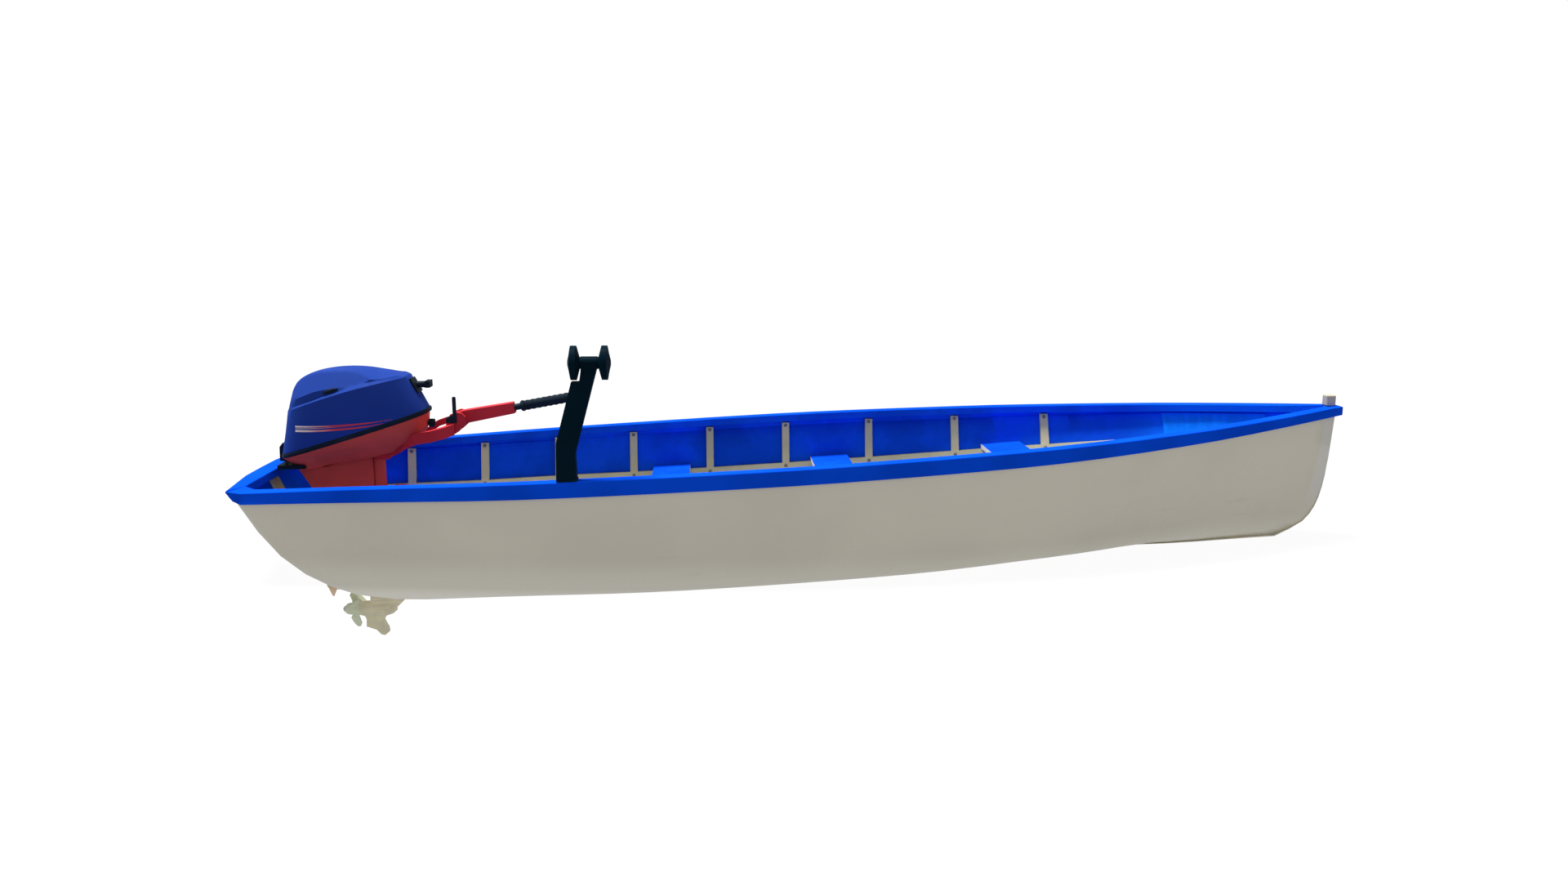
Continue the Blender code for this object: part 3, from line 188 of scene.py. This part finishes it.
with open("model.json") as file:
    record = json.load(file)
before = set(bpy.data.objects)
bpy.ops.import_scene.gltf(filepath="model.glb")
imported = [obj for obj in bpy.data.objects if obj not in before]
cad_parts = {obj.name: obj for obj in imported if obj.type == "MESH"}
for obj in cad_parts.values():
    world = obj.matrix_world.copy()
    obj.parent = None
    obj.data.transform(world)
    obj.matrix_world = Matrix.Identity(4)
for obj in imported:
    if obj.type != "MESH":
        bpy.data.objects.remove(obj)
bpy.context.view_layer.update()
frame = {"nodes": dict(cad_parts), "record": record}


class Look:
    """A material's node tree, with short calls for the nodes used here."""

    def __init__(self, name, roughness, metallic=0, shine=.15):
        self.mat = bpy.data.materials.new(name)
        self.mat.use_nodes = True
        self.tree = self.mat.node_tree
        self.shader = self.tree.nodes["Principled BSDF"]
        self.shader.inputs["Roughness"].default_value = roughness
        self.shader.inputs["Metallic"].default_value = metallic
        self.shader.inputs["Specular IOR Level"].default_value = shine
        self.place = self.tree.nodes.new("ShaderNodeTexCoord").outputs["Object"]

    def link(self, value, socket):
        """Join a node's output to a socket, or set a number or colour on it."""
        if isinstance(value, bpy.types.NodeSocket):
            self.tree.links.new(value, socket)
        elif isinstance(value, tuple) and len(value) == 3 and len(socket.default_value) == 4:
            socket.default_value = (*value, 1)
        else:
            socket.default_value = value

    def stretched(self, scale):
        node = self.tree.nodes.new("ShaderNodeMapping")
        self.tree.links.new(self.place, node.inputs["Vector"])
        node.inputs["Scale"].default_value = scale
        return node.outputs["Vector"]

    def noise(self, scale, detail, stretch=(1, 1, 1)):
        node = self.tree.nodes.new("ShaderNodeTexNoise")
        self.tree.links.new(self.stretched(stretch), node.inputs["Vector"])
        node.inputs["Scale"].default_value = scale
        node.inputs["Detail"].default_value = detail
        return node.outputs["Fac"]

    def cells(self, scale):
        node = self.tree.nodes.new("ShaderNodeTexVoronoi")
        self.tree.links.new(self.place, node.inputs["Vector"])
        node.inputs["Scale"].default_value = scale
        return node.outputs["Distance"]

    def spread(self, value, low, high, to_low=0, to_high=1):
        """Smooth step of a value from one range to another."""
        node = self.tree.nodes.new("ShaderNodeMapRange")
        node.interpolation_type = "SMOOTHSTEP"
        self.link(value, node.inputs["Value"])
        limits = {"From Min": low, "From Max": high, "To Min": to_low, "To Max": to_high}
        for name, number in limits.items():
            node.inputs[name].default_value = number
        return node.outputs["Result"]

    def math(self, kind, a, b=0):
        node = self.tree.nodes.new("ShaderNodeMath")
        node.operation = kind
        self.link(a, node.inputs[0])
        self.link(b, node.inputs[1])
        return node.outputs[0]

    def mix(self, share, a, b):
        node = self.tree.nodes.new("ShaderNodeMix")
        node.data_type = "RGBA"
        self.link(share, node.inputs["Factor"])
        self.link(a, node.inputs["A"])
        self.link(b, node.inputs["B"])
        return node.outputs["Result"]

    def axis(self, letter):
        node = self.tree.nodes.new("ShaderNodeSeparateXYZ")
        self.tree.links.new(self.place, node.inputs[0])
        return node.outputs[letter]

    def facing_up(self):
        node = self.tree.nodes.new("ShaderNodeNewGeometry")
        split = self.tree.nodes.new("ShaderNodeSeparateXYZ")
        self.tree.links.new(node.outputs["Normal"], split.inputs[0])
        return split.outputs["Z"]

    def edges(self, radius):
        """1 on sharp edges, from the difference between the rounded and the true normal."""
        soft = self.tree.nodes.new("ShaderNodeBevel")
        soft.inputs["Radius"].default_value = radius
        true = self.tree.nodes.new("ShaderNodeNewGeometry")
        dot = self.tree.nodes.new("ShaderNodeVectorMath")
        dot.operation = "DOT_PRODUCT"
        self.tree.links.new(soft.outputs["Normal"], dot.inputs[0])
        self.tree.links.new(true.outputs["Normal"], dot.inputs[1])
        return self.spread(dot.outputs["Value"], .97, .80)

    def colour(self, value):
        self.link(value, self.shader.inputs["Base Color"])

    def rough(self, value, low, high):
        self.link(self.spread(value, .3, .7, low, high), self.shader.inputs["Roughness"])

    def bump(self, value, height):
        node = self.tree.nodes.new("ShaderNodeBump")
        node.inputs["Distance"].default_value = height
        node.inputs["Strength"].default_value = 1
        self.link(value, node.inputs["Height"])
        self.tree.links.new(node.outputs["Normal"], self.shader.inputs["Normal"])


def scaled(colour, factor):
    """A colour made darker or lighter, up to white."""
    return tuple(min(c * factor, 1) for c in colour)


def painted(name, colour, roughness, wear=None, shine=.10, patch=3, orange_peel=.0002, grain=140):
    """Brushed or sprayed paint: soft patches, fine scratches and worn edges."""
    look = Look(name, roughness, shine=shine)
    patches = look.noise(patch, 5)
    shade = look.mix(look.spread(patches, .35, .65), scaled(colour, .86), scaled(colour, 1.06))
    if wear:
        chips = look.math("MULTIPLY", look.edges(.004), look.spread(look.noise(38, 6), .54, .66))
        shade = look.mix(chips, shade, wear)
    look.colour(shade)
    look.rough(look.noise(24, 5), roughness * .8, min(roughness * 1.25, 1))
    look.bump(look.noise(grain, 3), orange_peel)
    return look


def strap_paint():
    """Grey paint, darker where it faces up: painted shade."""
    look = painted("strap_paint", STRAP_GREY, .6, wear=STRAP_CHIPS, shine=.02,
                   orange_peel=.0006, grain=60)
    unshaded = look.shader.inputs["Base Color"].links[0].from_socket
    # painted shade: faces that look up are darkened
    painted_shade_up = look.spread(look.facing_up(), .25, .50)
    look.colour(look.mix(painted_shade_up, unshaded, scaled(STRAP_GREY, .48)))
    return look


def gelcoat_outside():
    """Off-white gelcoat with faint grime and scuffs, made paler low down by painted light, and paler
    along the stem.
    """
    look = Look("gelcoat_off_white", .34)
    patches = look.noise(1.6, 5)
    shade = look.mix(look.spread(patches, .35, .68), scaled(OFF_WHITE, .93), OFF_WHITE)
    streaks = look.spread(look.noise(9, 4, (1, 1, .10)), .52, .78)
    low = look.spread(look.axis("Z"), *GRIME_Z)
    grime = look.math("MULTIPLY", look.math("MULTIPLY", streaks, .16), look.math("ADD", low, .12))
    shade = look.mix(grime, shade, HULL_GRIME)
    # painted light: the hull turns paler towards the waterline
    shade = look.mix(look.spread(look.axis("Z"), *LOW_LIGHT_Z, 0, .85), shade, HULL_LOW_LIGHT)
    scuffs = look.spread(look.noise(30, 6, (.10, .10, 1)), .66, .74)
    shade = look.mix(look.math("MULTIPLY", scuffs, .14), shade, scaled(OFF_WHITE, .66))
    below = look.spread(look.axis("Z"), STEM_TOP[1], 0)
    below.node.interpolation_type = "LINEAR"
    rake = look.math("MULTIPLY", look.math("POWER", below, STEM_POWER), STEM_RAKE)
    behind = look.math("SUBTRACT", look.math("SUBTRACT", STEM_TOP[0], rake), look.axis("X"))
    beyond = look.math("SUBTRACT", behind, look.spread(look.axis("Z"), *STRIP_Z, *STEM_STRIP))
    fade = look.spread(look.axis("Z"), *STRIP_FADE_Z, 0, .6)
    strip = look.math("MULTIPLY", look.spread(beyond, .012, -.004), fade)
    look.colour(look.mix(strip, shade, STEM_WHITE))
    look.rough(look.noise(14, 5), .26, .44)
    look.bump(look.noise(6, 3), .0012)
    return look


def fibre_inside(name, colour, side_colour=None, bow_light_colour=None):
    """Paint over the laminate, whose blotches show through.

    It may turn paler towards the bow, with painted light that stands for light bounced there, and have
    another colour where it doesn't face up.
    """
    look = Look(name, .6, shine=0)
    blotches = look.spread(look.cells(26), .15, .75)
    mottle = look.noise(5, 6)
    shade = look.mix(look.spread(mottle, .38, .64), scaled(colour, .80), scaled(colour, 1.05))
    shade = look.mix(look.math("MULTIPLY", blotches, .20), shade, scaled(colour, .70))
    if bow_light_colour:
        # painted light: paler towards the bow, for the light bounced into it
        shade = look.mix(look.spread(look.axis("X"), *BOW_LIGHT_X, 0, .5), shade, bow_light_colour)
    if side_colour:
        up = look.spread(look.facing_up(), .45, .75)
        shade = look.mix(up, side_colour, shade)
    look.colour(shade)
    look.rough(look.noise(40, 4), .45, .70)
    look.bump(look.math("ADD", look.cells(90), look.noise(60, 4)), .0007)
    return look


def bow_lining():
    """Cloth laid up in the bow: bright blue, partly painted light where the bow's inside faces up, over
    upright wrinkles whose hollows hold painted shade.
    """
    look = Look("bow_lining_blue", .6, shine=0)
    wrinkles = look.noise(16, 5, (2.4, 1, .16))
    # painted shade: darker in the hollows of the wrinkles
    shade = look.mix(look.spread(wrinkles, .40, .66), scaled(LIT_LINING_BLUE, .86), LIT_LINING_BLUE)
    blotches = look.spread(look.cells(26), .15, .75, 0, .10)
    look.colour(look.mix(blotches, shade, scaled(LIT_LINING_BLUE, .7)))
    look.rough(look.noise(40, 4), .45, .65)
    look.bump(look.math("ADD", wrinkles, look.math("MULTIPLY", look.cells(90), .12)), .004)
    return look


def stripe_paint():
    """Printed stripe that fades from off-white aft to red forwards."""
    look = Look("cowl_stripes", .4)
    worn = look.noise(120, 4, (.2, 1, 1))
    along = look.math("ADD", look.axis("X"), look.math("MULTIPLY", worn, .08))
    shade = look.mix(look.spread(along, -2.10, -1.93), STRIPE_PALE, STRIPE_RED)
    look.colour(look.mix(look.spread(worn, .60, .72, 0, .5), shade, MOTOR_BLUE))
    return look


def plastic(name, colour, roughness, grain=900, ribs=0):
    """Moulded plastic with a fine grain, or rubber with ribs round it."""
    look = Look(name, roughness, shine=.06)
    faded = look.noise(6, 5)
    look.colour(look.mix(look.spread(faded, .4, .7), colour, scaled(colour, 1.6)))
    look.rough(look.noise(50, 4), roughness * .85, min(roughness * 1.2, 1))
    if ribs:
        waves = look.math("SINE", look.math("MULTIPLY", look.axis("X"), 2 * math.pi / ribs))
        look.bump(look.math("ADD", waves, look.cells(grain)), .0006)
    else:
        look.bump(look.cells(grain), .00018)
    return look


def wood_board():
    """Weathered board with its grain and wide rings along the boat's width."""
    look = Look("motor_board_wood", .6)
    rings = look.noise(5, 5, (1, .35, 5))
    grain = look.noise(60, 5, (1, .06, 1))
    shade = look.mix(look.spread(rings, .35, .65), WOOD_LIGHT, WOOD_DARK)
    look.colour(look.mix(look.spread(grain, .5, .7, 0, .45), shade, scaled(WOOD_DARK, .6)))
    look.rough(grain, .5, .75)
    look.bump(grain, .0006)
    return look


def bare_metal(name, colour, roughness, metallic, stain=None):
    """Brushed or cast metal, with or without stains."""
    look = Look(name, roughness, metallic)
    brushed = look.noise(90, 4, (.12, 1, 1))
    shade = look.mix(look.spread(brushed, .35, .65), scaled(colour, .82), colour)
    if stain:
        shade = look.mix(look.spread(look.noise(14, 5), .50, .72, 0, .7), shade, stain)
    look.colour(shade)
    look.rough(look.noise(35, 4), roughness * .8, min(roughness * 1.3, 1))
    look.bump(brushed, .0002)
    return look


WHITE = gelcoat_outside().mat
INSIDE = fibre_inside("laminate_blue", INNER_BLUE, bow_light_colour=LIT_LINING_BLUE).mat
LINING = bow_lining().mat
SEAT = fibre_inside("seat_blue", RAIL_BLUE, side_colour=OFF_WHITE).mat
RAIL = painted("rail_paint", RAIL_BLUE, .6, shine=0).mat
STRAP = strap_paint().mat
STEM_CAP = painted("stem_head_paint", CAP_GREY, .6, orange_peel=.0006, grain=60).mat
SOLE = painted("sole_boards", SOLE_GREY, .7, orange_peel=.0009, grain=45).mat
BLUE = painted("motor_blue_paint", MOTOR_BLUE, .5, shine=.01, patch=2,
               orange_peel=.00008, grain=320).mat
STRIPE = stripe_paint().mat
PAN = painted("pan_red_paint", PAN_RED, .5, wear=PAN_CHIPS, shine=.04, patch=4).mat
ARM = painted("arm_red_paint", ARM_RED, .5, wear=ARM_CHIPS, shine=.03, patch=4).mat
RUBBER = plastic("black_plastic_grained", BLACK, .5).mat
GRIP = plastic("grip_rubber", BLACK, .68, grain=500, ribs=.009).mat
POST = painted("post_paint", POST_BLACK, .45, wear=POST_CHIPS, shine=.01, grain=90).mat
BOARD = wood_board().mat
METAL = bare_metal("steel_brushed", STEEL, .30, 1).mat
BOLT = bare_metal("bolt_heads", BOLT_GREY, .6, 0).mat
BLOCK = bare_metal("powerhead_cast", CAST_GREY, .5, .8).mat
PALE = bare_metal("lower_unit_cast", LOWER_UNIT, .5, 0, stain=LOWER_UNIT_STAIN).mat
SCREW = bare_metal("propeller_cast", PROPELLER, .42, 0, stain=PROPELLER_STAIN).mat
TAB_PAINT = painted("tab_paint", TAB, .5).mat


def ride(obj, body, slot, *nodes):
    """Give a piece its body, and hide the nodes that it replaces."""
    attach(obj, body)
    if nodes:
        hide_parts(*nodes)


def welded_copy(node):
    """A node's mesh with its corners joined, free of the imported normals."""
    bm = bmesh.new()
    bm.from_mesh(frame["nodes"][node].data)
    bmesh.ops.remove_doubles(bm, verts=bm.verts, dist=WELD_DISTANCE)
    bmesh.ops.dissolve_limit(bm, angle_limit=FLAT_ANGLE, verts=bm.verts, edges=bm.edges)
    return bm


def add_piece(name, bm, material, angle=SHARP_ANGLE):
    """Object of a mesh, smooth but for edges sharper than the angle in degrees."""
    mesh = bpy.data.meshes.new(name)
    bm.to_mesh(mesh)
    bm.free()
    obj = bpy.data.objects.new(name, mesh)
    bpy.context.scene.collection.objects.link(obj)
    mesh.materials.append(material)
    mesh.shade_smooth()
    mesh.set_sharp_from_angle(angle=math.radians(angle))
    return obj


def soften(obj, width, limit="ANGLE"):
    """Round an object's sharp edges, or those that have a bevel weight."""
    mod = obj.modifiers.new("Soften", "BEVEL")
    mod.width = width
    mod.segments = 2
    mod.limit_method = limit
    mod.angle_limit = math.radians(SHARP_ANGLE)
    mod.harden_normals = True


def dress(node, body, slot, material, bevel):
    """A finer-finished copy of a node, in its place."""
    obj = add_piece(node + "_dressed", welded_copy(node), material)
    if bevel:
        soften(obj, bevel)
    ride(obj, body, slot, node)


def body_of(node):
    for body, members in frame["record"]["behaviour"]["bodies"].items():
        if node in members:
            return body
    raise ValueError(node)


def to_middle(point, height):
    """Way from a point to the boat's middle line, which ends short of the bow and the stern."""
    return Vector((max(min(point.x, MIDDLE_REACH), -MIDDLE_REACH), 0, height)) - point


def build_rails():
    """Gunwales and breasthook, drawn down over the skin's edge and rounded along the top.

    Their inner faces have the paint of the hull's inside.
    """
    for node in ("gunwale_port", "gunwale_starboard", "gunwale_stern", "breasthook"):
        rail = add_piece(node + "_dressed", welded_copy(node), RAIL)
        mesh = rail.data
        mesh.materials.append(INSIDE)
        upper = set()
        for face in mesh.polygons:
            inwards = face.normal.dot(to_middle(face.center, face.center.z)) > 0
            if abs(face.normal.z) < RAIL_FACING and inwards:
                face.material_index = 1
            if face.normal.z > RAIL_FACING:
                upper.update(face.edge_keys)
        foot = {k for face in mesh.polygons if face.normal.z < -RAIL_FACING for k in face.vertices}
        for k in foot:
            mesh.vertices[k].co.z -= RAIL_OVERLAP
        weights = mesh.attributes.new("bevel_weight_edge", "FLOAT", "EDGE").data
        for edge, weight in zip(mesh.edges, weights):
            weight.value = edge.key in upper and edge.use_edge_sharp
        soften(rail, RAIL_ROUND, "WEIGHT")
        ride(rail, "hull", "rail_blue", node)


def inside_of_hull(centre, normal, well_front):
    """Whether a face of the shell looks into the boat or is its rim.

    The walls of the motor well look into the boat with their outer faces and their tops.
    """
    if normal.z > RIM_FACING and centre.z > RIM_Z:
        return True
    across = abs(centre.y)
    low = centre.z < WELL_TOP + 2 * WELL_MARGIN
    if centre.x < well_front and across < WELL_HALF + WELL_WALL and low:
        return across > WELL_HALF + WELL_MARGIN or max(normal.x, normal.z) > WELL_FACING
    return normal.dot(to_middle(centre, MIDDLE_Z)) > 0


def build_hull():
    """Shell, off-white outside and blue inside."""
    shell = add_piece("hull_skin", welded_copy("hull_shell"), WHITE, HULL_SHARP)
    shell.data.materials.append(INSIDE)
    well_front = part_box("motor_board")[0].x + WELL_MARGIN
    for face in shell.data.polygons:
        if inside_of_hull(face.center, face.normal, well_front):
            face.material_index = 1
    ride(shell, "hull", "hull_white", "hull_shell")


def curve(points, x):
    """Smooth value at x through points in order of x."""
    if x <= points[0][0]:
        return points[0][1]
    if x >= points[-1][0]:
        return points[-1][1]
    k = max(i for i, point in enumerate(points) if point[0] <= x)

    def slope(i):
        low, high = points[max(i - 1, 0)], points[min(i + 1, len(points) - 1)]
        return (high[1] - low[1]) / (high[0] - low[0])

    (x0, a), (x1, b) = points[k], points[k + 1]
    t = (x - x0) / (x1 - x0)
    bend = (t ** 3 - 2 * t ** 2 + t) * slope(k) + (t ** 3 - t ** 2) * slope(k + 1)
    return a + (3 * t ** 2 - 2 * t ** 3) * (b - a) + bend * (x1 - x0)


def cowl_outline(aft, aft_z, fore, fore_z, half, arch):
    """Oval ring of the cowl's side, on a plane that rises forwards and is arched along its middle."""
    widest = aft + (fore - aft) * COWL_WIDEST
    ring = []
    for k in range(COWL_COUNT):
        angle = 2 * math.pi * (k + .5) / COWL_COUNT
        c, s = math.cos(angle), math.sin(angle)
        power = 2 / (OVAL_FORE_POWER if c > 0 else OVAL_AFT_POWER)
        length = fore - widest if c > 0 else widest - aft
        x = widest + length * math.copysign(abs(c) ** power, c)
        share = (x - aft) / (fore - aft)
        z = aft_z + (fore_z - aft_z) * share + 4 * arch * share * (1 - share)
        ring.append(Vector((x, half * math.copysign(abs(s) ** power, s), z)))
    return ring


def cowl_top(x, y):
    """Height of the flat top or, beyond its edge, of the flank that falls from it."""
    edge = curve(TOP_HALF, x)
    reach = min(abs(y), edge)
    height = curve(TOP_PROFILE, x) - curve(TOP_CROWN, x) * reach ** 2
    return height - FLANK_SLOPE * max(abs(y) - edge, 0)


def build_cowl():
    """Cowl with a sharp crease, a ledge over it and flanks set in above the ledge."""
    rings = [cowl_outline(*ring) for ring in COWL_SIDE]
    crease = rings[-1]
    ledge = []
    aft_end, open_end = LEDGE_AFT
    for point in crease:
        side = abs(point.y) / COWL_SIDE[-1][4]
        opening = min(max((point.x - aft_end) / (open_end - aft_end), 0), 1)
        scale = 1 - LEDGE_LIP - LEDGE_DEPTH * opening * side ** LEDGE_POWER
        x = COWL_CENTRE + (point.x - COWL_CENTRE) * scale
        z = point.z + LEDGE_RISE - LEDGE_DROP * opening + LEDGE_SIDE_RISE * side * opening
        ledge.append(Vector((x, point.y * scale, z)))
    rings.append(ledge)
    for row in range(COWL_RINGS):
        share = TOP_START * (1 - row / COWL_RINGS)
        ring = []
        for point in ledge:
            x, y = COWL_CENTRE + (point.x - COWL_CENTRE) * share, point.y * share
            ring.append(Vector((x, y, max(point.z, cowl_top(x, y)))))
        rings.append(ring)
    bm = bmesh.new()
    rows = [[bm.verts.new(point) for point in ring] for ring in rings]
    for low, high in zip(rows, rows[1:]):
        for k in range(COWL_COUNT):
            following = (k + 1) % COWL_COUNT
            bm.faces.new((low[k], low[following], high[following], high[k]))
    bm.faces.new(rows[-1])
    obj = add_piece("cowl_cover", bm, BLUE, COWL_SHARP)
    ride(obj, body_of("cowl"), "motor_blue", "cowl")
    build_slots()
    corners = [v.co for v in obj.data.vertices]
    faces = [tuple(face.vertices) for face in obj.data.polygons]
    build_stripes(BVHTree.FromPolygons(corners, faces))


def build_slots():
    """Black pieces at the foot of the flanks, standing for the shade inside the air inlets."""
    bm = bmesh.new()
    for side in (-1, 1):
        x, y, z = SLOT_PLACE
        place = Matrix.Translation((x, side * y, z)) @ Matrix.Rotation(-CREASE_TILT, 4, "Y")
        bmesh.ops.create_uvsphere(bm, u_segments=24, v_segments=12, radius=1,
                                  matrix=place @ Matrix.Diagonal((*SLOT_SIZE, 1)))
    ride(add_piece("cowl_air_slots", bm, RUBBER), body_of("cowl"), "black_plastic")


def build_stripes(tree):
    """Stripes that lie on the cowl's sides, which the tree holds."""
    bm = bmesh.new()
    for side in (-1, 1):
        for stripe in STRIPES:
            heights = [(x, z) for x, z, _ in stripe]
            widths = [(x, width) for x, _, width in stripe]
            first, last = stripe[0][0], stripe[-1][0]
            rows = []
            for k in range(STRIPE_STEPS + 1):
                x = first + (last - first) * k / STRIPE_STEPS
                middle, half = curve(heights, x), curve(widths, x) / 2
                pair = [on_surface(tree, x, middle + shift, side) for shift in (-half, half)]
                rows.append([bm.verts.new(point) for point in pair])
            for (a, b), (c, d) in zip(rows, rows[1:]):
                bm.faces.new((a, c, d, b) if side < 0 else (a, b, d, c))
    ride(add_piece("cowl_stripes", bm, STRIPE), body_of("cowl"), "motor_red")


def on_surface(tree, x, z, side):
    """Point just outside a surface, met from the side."""
    hit = tree.ray_cast(Vector((x, side, z)), Vector((0, -side, 0)))[0]
    return hit + Vector((0, side * STRIPE_PROUD, 0))


def build_bolts():
    """Domed bolt heads at the top of each strap and where it crosses the stringer."""
    for side, node in ((1, "side_frame_port"), (-1, "side_frame_starboard")):
        source = welded_copy(node)
        tree = BVHTree.FromBMesh(source)
        tops = {x: max(v.co.z for v in source.verts if abs(v.co.x - x) < STRAP_REACH) for x in STRAPS_X}
        bm = bmesh.new()
        for x, top in tops.items():
            for z in (top - BOLT_DROP, stringer_middle(tree, x, side, top)):
                hit, normal, _, _ = tree.ray_cast(Vector((x, 0, z)), Vector((0, side, 0)))
                turn = normal.to_track_quat("Z", "Y").to_matrix().to_4x4()
                bmesh.ops.create_uvsphere(bm, u_segments=16, v_segments=8, radius=1,
                                          matrix=Matrix.Translation(hit) @ turn
                                          @ Matrix.Diagonal((BOLT_R, BOLT_R, BOLT_PROUD, 1)))
        source.free()
        ride(add_piece("bolts_" + node, bm, BOLT), "hull", "steel")


def stringer_middle(tree, x, side, top):
    """Height of the stringer's middle at x, found beside the strap."""
    beside = x + BESIDE_STRAP
    levels = [top - PROBE_STEP * k for k in range(PROBE_COUNT)]
    hits = [z for z in levels if tree.ray_cast(Vector((beside, 0, z)), Vector((0, side, 0)))[0]]
    return sum(hits) / len(hits)


def build_starter_handle():
    """Stem and squared bar of the pull handle."""
    bm = bmesh.new()
    (stem_aft, stem_fore), (bar_aft, bar_fore) = HANDLE_STEM_X, HANDLE_BAR_X
    middle = Matrix.Translation(((stem_aft + stem_fore) / 2, 0, HANDLE_Z))
    along = Matrix.Rotation(math.pi / 2, 4, "Y")
    bmesh.ops.create_cone(bm, cap_ends=True, segments=24, radius1=HANDLE_STEM_R, radius2=HANDLE_STEM_R,
                          depth=stem_fore - stem_aft, matrix=middle @ along)
    half_y, half_z = HANDLE_BAR_HALF
    bar = Matrix.Translation(((bar_aft + bar_fore) / 2, 0, HANDLE_Z + HANDLE_RISE))
    size = Matrix.Diagonal((bar_fore - bar_aft, 2 * half_y, 2 * half_z, 1))
    bmesh.ops.create_cube(bm, size=1, matrix=bar @ size)
    obj = add_piece("starter_pull", bm, RUBBER)
    soften(obj, HANDLE_ROUND)
    ride(obj, body_of("starter_handle"), "black_plastic", "starter_handle")


# Pieces that only get a finish: nodes, slot, material and how far their edges are rounded
SIMPLE = (
    (("stem_head",), "frame_grey", STEM_CAP, .004),
    (("keel_band",), "hull_white", WHITE, 0),
    (("side_frame_port", "side_frame_starboard", "stern_strap"), "frame_grey", STRAP, .0015),
    (("floor_frame",), "frame_grey", STRAP, 0),
    (("sole",), "hull_white", SOLE, .002),
    (("thwart_aft", "thwart_middle", "thwart_fore"), "inner_blue", SEAT, .004),
    (("bow_lining_port", "bow_lining_starboard"), "inner_blue", LINING, 0),
    (("motor_board",), "wood", BOARD, .001),
    (("post_clamp", "roller_post"), "post_black", POST, .0015),
    (("roller_disc_fore", "roller_disc_aft"), "post_black", POST, 0),
    (("roller_shaft",), "steel", METAL, .0006),
    (("steering_bracket", "tiller_arm"), "motor_red", ARM, .003),
    (("clamp_bracket", "swivel_bracket"), "motor_red", PAN, .003),
    (("midsection", "lower_cowling"), "motor_red", PAN, .002),
    (("trim_tab",), "motor_red", TAB_PAINT, .001),
    (("clamp_screw_port", "clamp_screw_starboard", "propeller_nut"), "steel", METAL, .0008),
    (("powerhead",), "steel", BLOCK, .006),
    (("cowl_seal", "carry_handle", "aft_latch"), "black_plastic", RUBBER, .002),
    (("starter_plate", "shift_lever"), "black_plastic", RUBBER, .002),
    (("link_knob", "tiller_neck"), "black_plastic", RUBBER, .0008),
    (("tiller_grip",), "black_plastic", GRIP, .0006),
    (("lower_unit",), "alloy_pale", PALE, .0015),
    (("propeller",), "alloy_pale", SCREW, 0),
)


def build_simple_pieces():
    for nodes, slot, material, bevel in SIMPLE:
        for node in nodes:
            dress(node, body_of(node), slot, material, bevel)


def add_camera():
    data = bpy.data.cameras.new("camera")
    data.lens = LENS
    data.sensor_width = SENSOR
    data.clip_end = CAMERA_REACH
    camera = bpy.data.objects.new("camera", data)
    bpy.context.scene.collection.objects.link(camera)
    camera.location = CAMERA_PLACE
    camera.rotation_euler = (math.pi / 2 - CAMERA_PITCH, 0, -CAMERA_YAW)
    bpy.context.scene.camera = camera


def add_sun():
    """Wide soft light from above and a little aft, so the sides that face the camera stay in shade."""
    data = bpy.data.lights.new("sun", "SUN")
    data.energy = SUN_STRENGTH
    data.angle = SUN_ANGLE
    light = bpy.data.objects.new("sun", data)
    bpy.context.scene.collection.objects.link(light)
    light.rotation_euler = Vector(SUN_FROM).to_track_quat("Z", "Y").to_euler()


def add_world():
    world = bpy.data.worlds.new("studio")
    world.use_nodes = True
    background = world.node_tree.nodes["Background"]
    background.inputs["Color"].default_value = (1, 1, 1, 1)
    background.inputs["Strength"].default_value = SKY_STRENGTH
    bpy.context.scene.world = world


def add_stage():
    """Pale floor at the waterline, clear enough to show the motor's foot through it, and a backdrop."""
    bm = bmesh.new()
    bmesh.ops.create_circle(bm, cap_ends=True, segments=96, radius=FLOOR_RADIUS)
    floor = add_piece("floor", bm, floor_look())
    floor.visible_shadow = False
    bm = bmesh.new()
    bmesh.ops.create_uvsphere(bm, u_segments=48, v_segments=24, radius=BACKDROP_RADIUS)
    backdrop = add_piece("backdrop", bm, backdrop_look())
    backdrop.visible_diffuse = False
    backdrop.visible_glossy = False
    backdrop.visible_shadow = False
    backdrop.visible_transmission = False


def floor_look():
    """Nearly clear, and quite clear far from the boat."""
    look = Look("floor_clear", .9, shine=0)
    look.colour(FLOOR_TINT)
    reach = look.math("SQRT", look.math("ADD", look.math("POWER", look.axis("X"), 2),
                                        look.math("POWER", look.axis("Y"), 2)))
    look.link(look.spread(reach, *FLOOR_FADE, FLOOR_ALPHA, 0), look.shader.inputs["Alpha"])
    return look.mat


def backdrop_look():
    """Even white light."""
    mat = bpy.data.materials.new("backdrop_white")
    mat.use_nodes = True
    nodes = mat.node_tree.nodes
    nodes.clear()
    light = nodes.new("ShaderNodeEmission")
    output = nodes.new("ShaderNodeOutputMaterial")
    mat.node_tree.links.new(light.outputs[0], output.inputs["Surface"])
    return mat


add_camera()
add_world()
add_sun()
bpy.context.scene.view_settings.view_transform = "Standard"
add_stage()
build_hull()
build_rails()
build_cowl()
build_starter_handle()
build_bolts()
build_simple_pieces()
